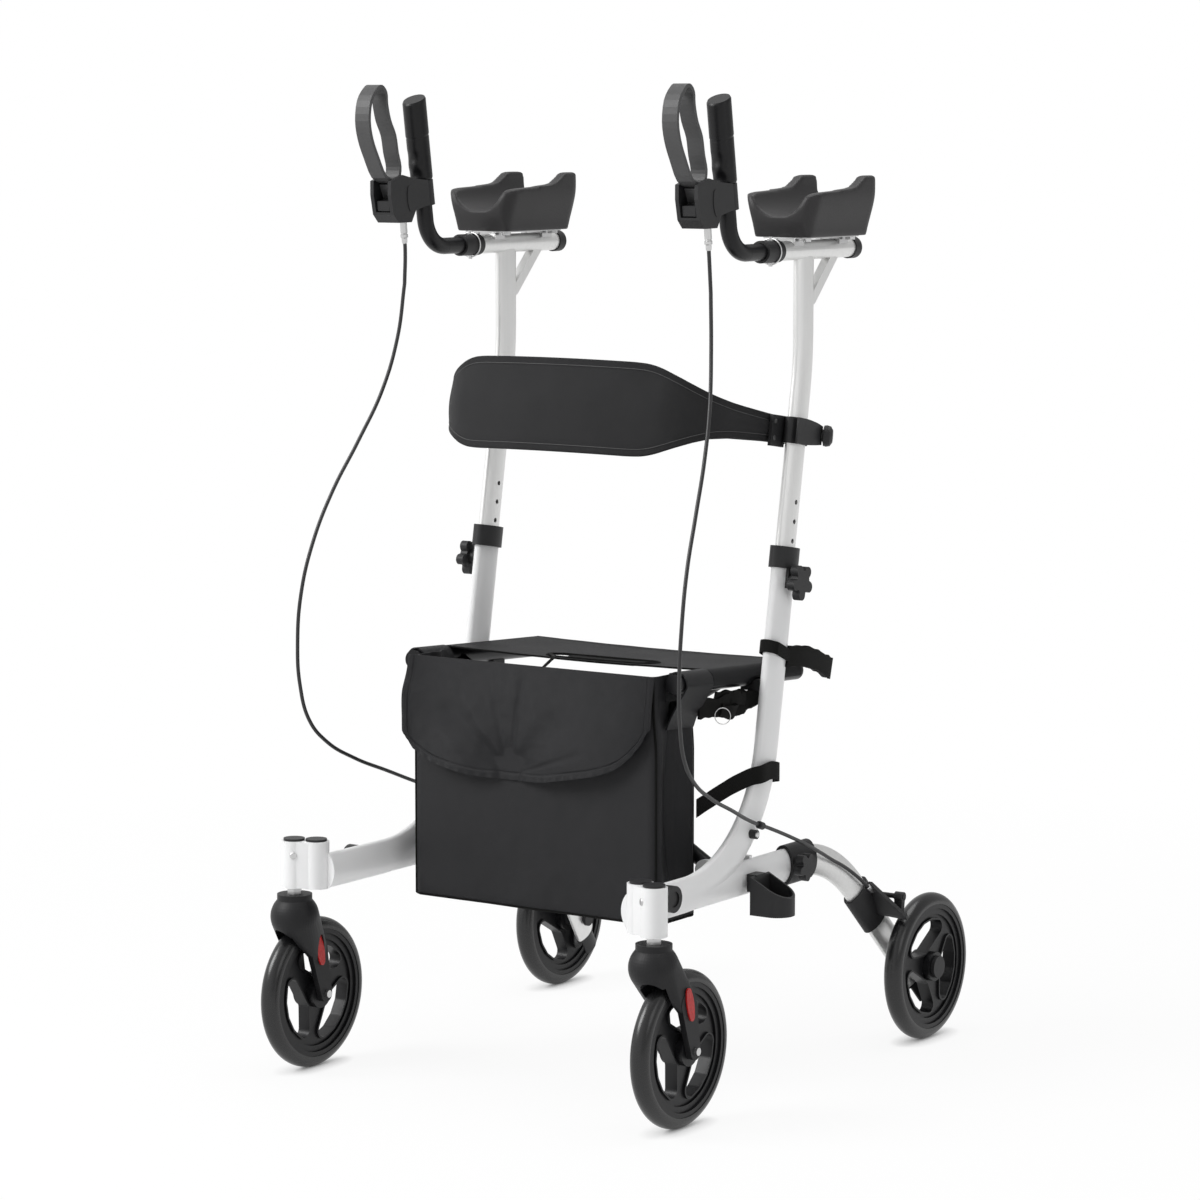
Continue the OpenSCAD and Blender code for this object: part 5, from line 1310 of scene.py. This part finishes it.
# %% Bag loops
LOOP_Y = (-0.176, -0.114)
LOOP_T, LOOP_FRAY = 0.0022, 0.0012
LOOP_R = RAIL_R + LOOP_T
LOOP_FROM, LOOP_SWEEP = math.radians(-28), math.radians(204)
LOOP_STEPS = 8
LOOP_OUTSIDE = ((0.1895, 0.474), (0.1985, 0.494))
LOOP_INSIDE = (0.1890, 0.510)
loop_mid = (LOOP_Y[0] + LOOP_Y[1]) / 2
loop_half_y = (LOOP_Y[1] - LOOP_Y[0]) / 2
loop_half = (0, loop_half_y, -loop_half_y * RAIL_FALL)

loop_section = list(LOOP_OUTSIDE)
for k in range(LOOP_STEPS + 1):
    angle = LOOP_FROM + LOOP_SWEEP * k / LOOP_STEPS
    z = rail_height(loop_mid) + LOOP_R * math.sin(angle)
    loop_section.append((RAIL_X + LOOP_R * math.cos(angle), z))
loop_section.append(LOOP_INSIDE)
loop_line = [(x, loop_mid, z) for x, z in loop_section]
for side, sign in SIDES:
    loop = ribbon(mirrored(loop_line, sign), loop_half, LOOP_T, side + "_bag_loop", bag_nylon, LOOP_FRAY)
    if sign > 0:
        carried(loop, "bag")
    else:
        with_bag(loop)
print("bag loops at", round(loop_mid, 3))

# %% [markdown]
# Webbing holds the rest. A tie goes round the near post, and its long end is folded back on itself.
# A strap runs from the bag's rear corner to the outer face of the bend, and goes round it. Under the
# near rail hangs the folded carrying strap with its wire ring. Each is a strip along a few points that
# were read off the photograph and set on the tube that carries it.

# %% Straps
POST_X, POST_FOOT_Y, POST_FOOT_Z = 0.237, -0.041, 0.273
POST_LEAN = math.radians(10)
POST_R, POST_FLAT = 0.0125, 0.0105
TIE_AT = 0.2905
TIE_SLOPE = 0.25
TIE_HALF, TIE_T, TIE_FRAY, TIE_STEPS = 0.0082, 0.0018, 0.0004, 32
TIE_CLEAR = 0.0014
up_post = Vector((0, math.sin(POST_LEAN), math.cos(POST_LEAN)))
back_post = Vector((0, math.cos(POST_LEAN), -math.sin(POST_LEAN)))
post_foot = Vector((POST_X, POST_FOOT_Y, POST_FOOT_Z))


def round_post(k):
    """A point of the tie's ring round the post, whose tube is a flat oval."""
    angle = TURN * k / TIE_STEPS
    radius = POST_R + TIE_CLEAR
    back = math.copysign(POST_FLAT, math.sin(angle)) + radius * math.sin(angle)
    aside = Vector((radius * math.cos(angle), 0, 0))
    return post_foot + up_post * (TIE_AT - TIE_SLOPE * back) + back_post * back + aside


TIE_TAIL = (
    (0.2490, 0.020, 0.5525), (0.2530, 0.050, 0.5495), (0.2535, 0.082, 0.5420), (0.2520, 0.110, 0.5310),
    (0.2490, 0.129, 0.5240), (0.2445, 0.127, 0.5250), (0.2455, 0.100, 0.5370), (0.2460, 0.070, 0.5465),
    (0.2460, 0.040, 0.5505), (0.2470, 0.024, 0.5515),
)
TIE_TAIL_HALF = (0, 0.0035, 0.0130)
TIE_TAIL_T, TIE_TAIL_FRAY = 0.0042, 0.0018
BAG_STRAP = (
    (0.1890, -0.104, 0.3640), (0.2050, -0.088, 0.3780), (0.2220, -0.072, 0.3920), (0.2400, -0.056, 0.4030),
    (0.2510, -0.044, 0.4065), (0.2516, -0.024, 0.4085), (0.2512, -0.006, 0.4055), (0.2470, 0.0040, 0.4020),
    (0.2400, 0.0065, 0.4000), (0.2300, 0.0065, 0.3990),
)
BAG_STRAP_HALF = (0, 0, 0.0118)
BAG_STRAP_T, BAG_STRAP_FRAY = 0.0018, 0.0004
CARRY = (
    (0.2010, -0.118, 0.4990), (0.2060, -0.095, 0.4960), (0.2120, -0.070, 0.4975), (0.2105, -0.045, 0.4960),
    (0.2140, -0.020, 0.4970), (0.2180, 0.0000, 0.5000), (0.2210, 0.0150, 0.5010),
)
CARRY_HALF = (
    (0, 0, 0.0150), (0.002, 0, 0.0120), (0.004, 0, 0.0165), (-0.003, 0, 0.0170), (0.002, 0, 0.0130),
    (0, 0, 0.0095), (0, 0, 0.0095),
)
CARRY_FOLD = (
    (0.2070, -0.090, 0.5060), (0.2130, -0.072, 0.5080), (0.2170, -0.050, 0.5055), (0.2150, -0.030, 0.4980),
    (0.2110, -0.040, 0.4890), (0.2150, -0.060, 0.4860), (0.2120, -0.082, 0.4900),
)
CARRY_FOLD_HALF = (0.002, 0, 0.0085)
CARRY_T, CARRY_FOLD_T, CARRY_FRAY = 0.0040, 0.0036, 0.003
CARRY_RING_AT = (0.2185, -0.088, 0.4850)
CARRY_RING_R, CARRY_RING_WIRE = 0.0105, 0.0006
CARRY_RING_TURN = (math.radians(80), 0, math.radians(50))

around_post = [round_post(k) for k in range(TIE_STEPS)]
around_post.append(around_post[0])
tie = ribbon(around_post, up_post * TIE_HALF, TIE_T, "tie_band", webbing, TIE_FRAY, steps=96)
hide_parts("tie_strap")
tail = ribbon(TIE_TAIL, TIE_TAIL_HALF, TIE_TAIL_T, "tie_tail", webbing, TIE_TAIL_FRAY, steps=140)
for piece in (tie, tail):
    carried(piece, "left_frame")
bag_strap = ribbon(BAG_STRAP, BAG_STRAP_HALF, BAG_STRAP_T, "bag_strap", webbing, BAG_STRAP_FRAY)
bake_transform(bag_strap)
carry = ribbon(CARRY, CARRY_HALF, CARRY_T, "carry_strap", webbing, CARRY_FRAY, steps=120)
fold = ribbon(CARRY_FOLD, CARRY_FOLD_HALF, CARRY_FOLD_T, "carry_strap_fold", webbing, CARRY_FRAY, steps=120)
for piece in (carry, fold):
    carried(piece, "bag")
deselect()
bpy.ops.mesh.primitive_torus_add(
    major_radius=CARRY_RING_R, minor_radius=CARRY_RING_WIRE, major_segments=48, minor_segments=10,
    location=CARRY_RING_AT, rotation=CARRY_RING_TURN,
)
carried(settle(bpy.context.object, "carry_ring", steel, angle=60), "bag")
print("straps", tie.name, tail.name, bag_strap.name, carry.name, fold.name)
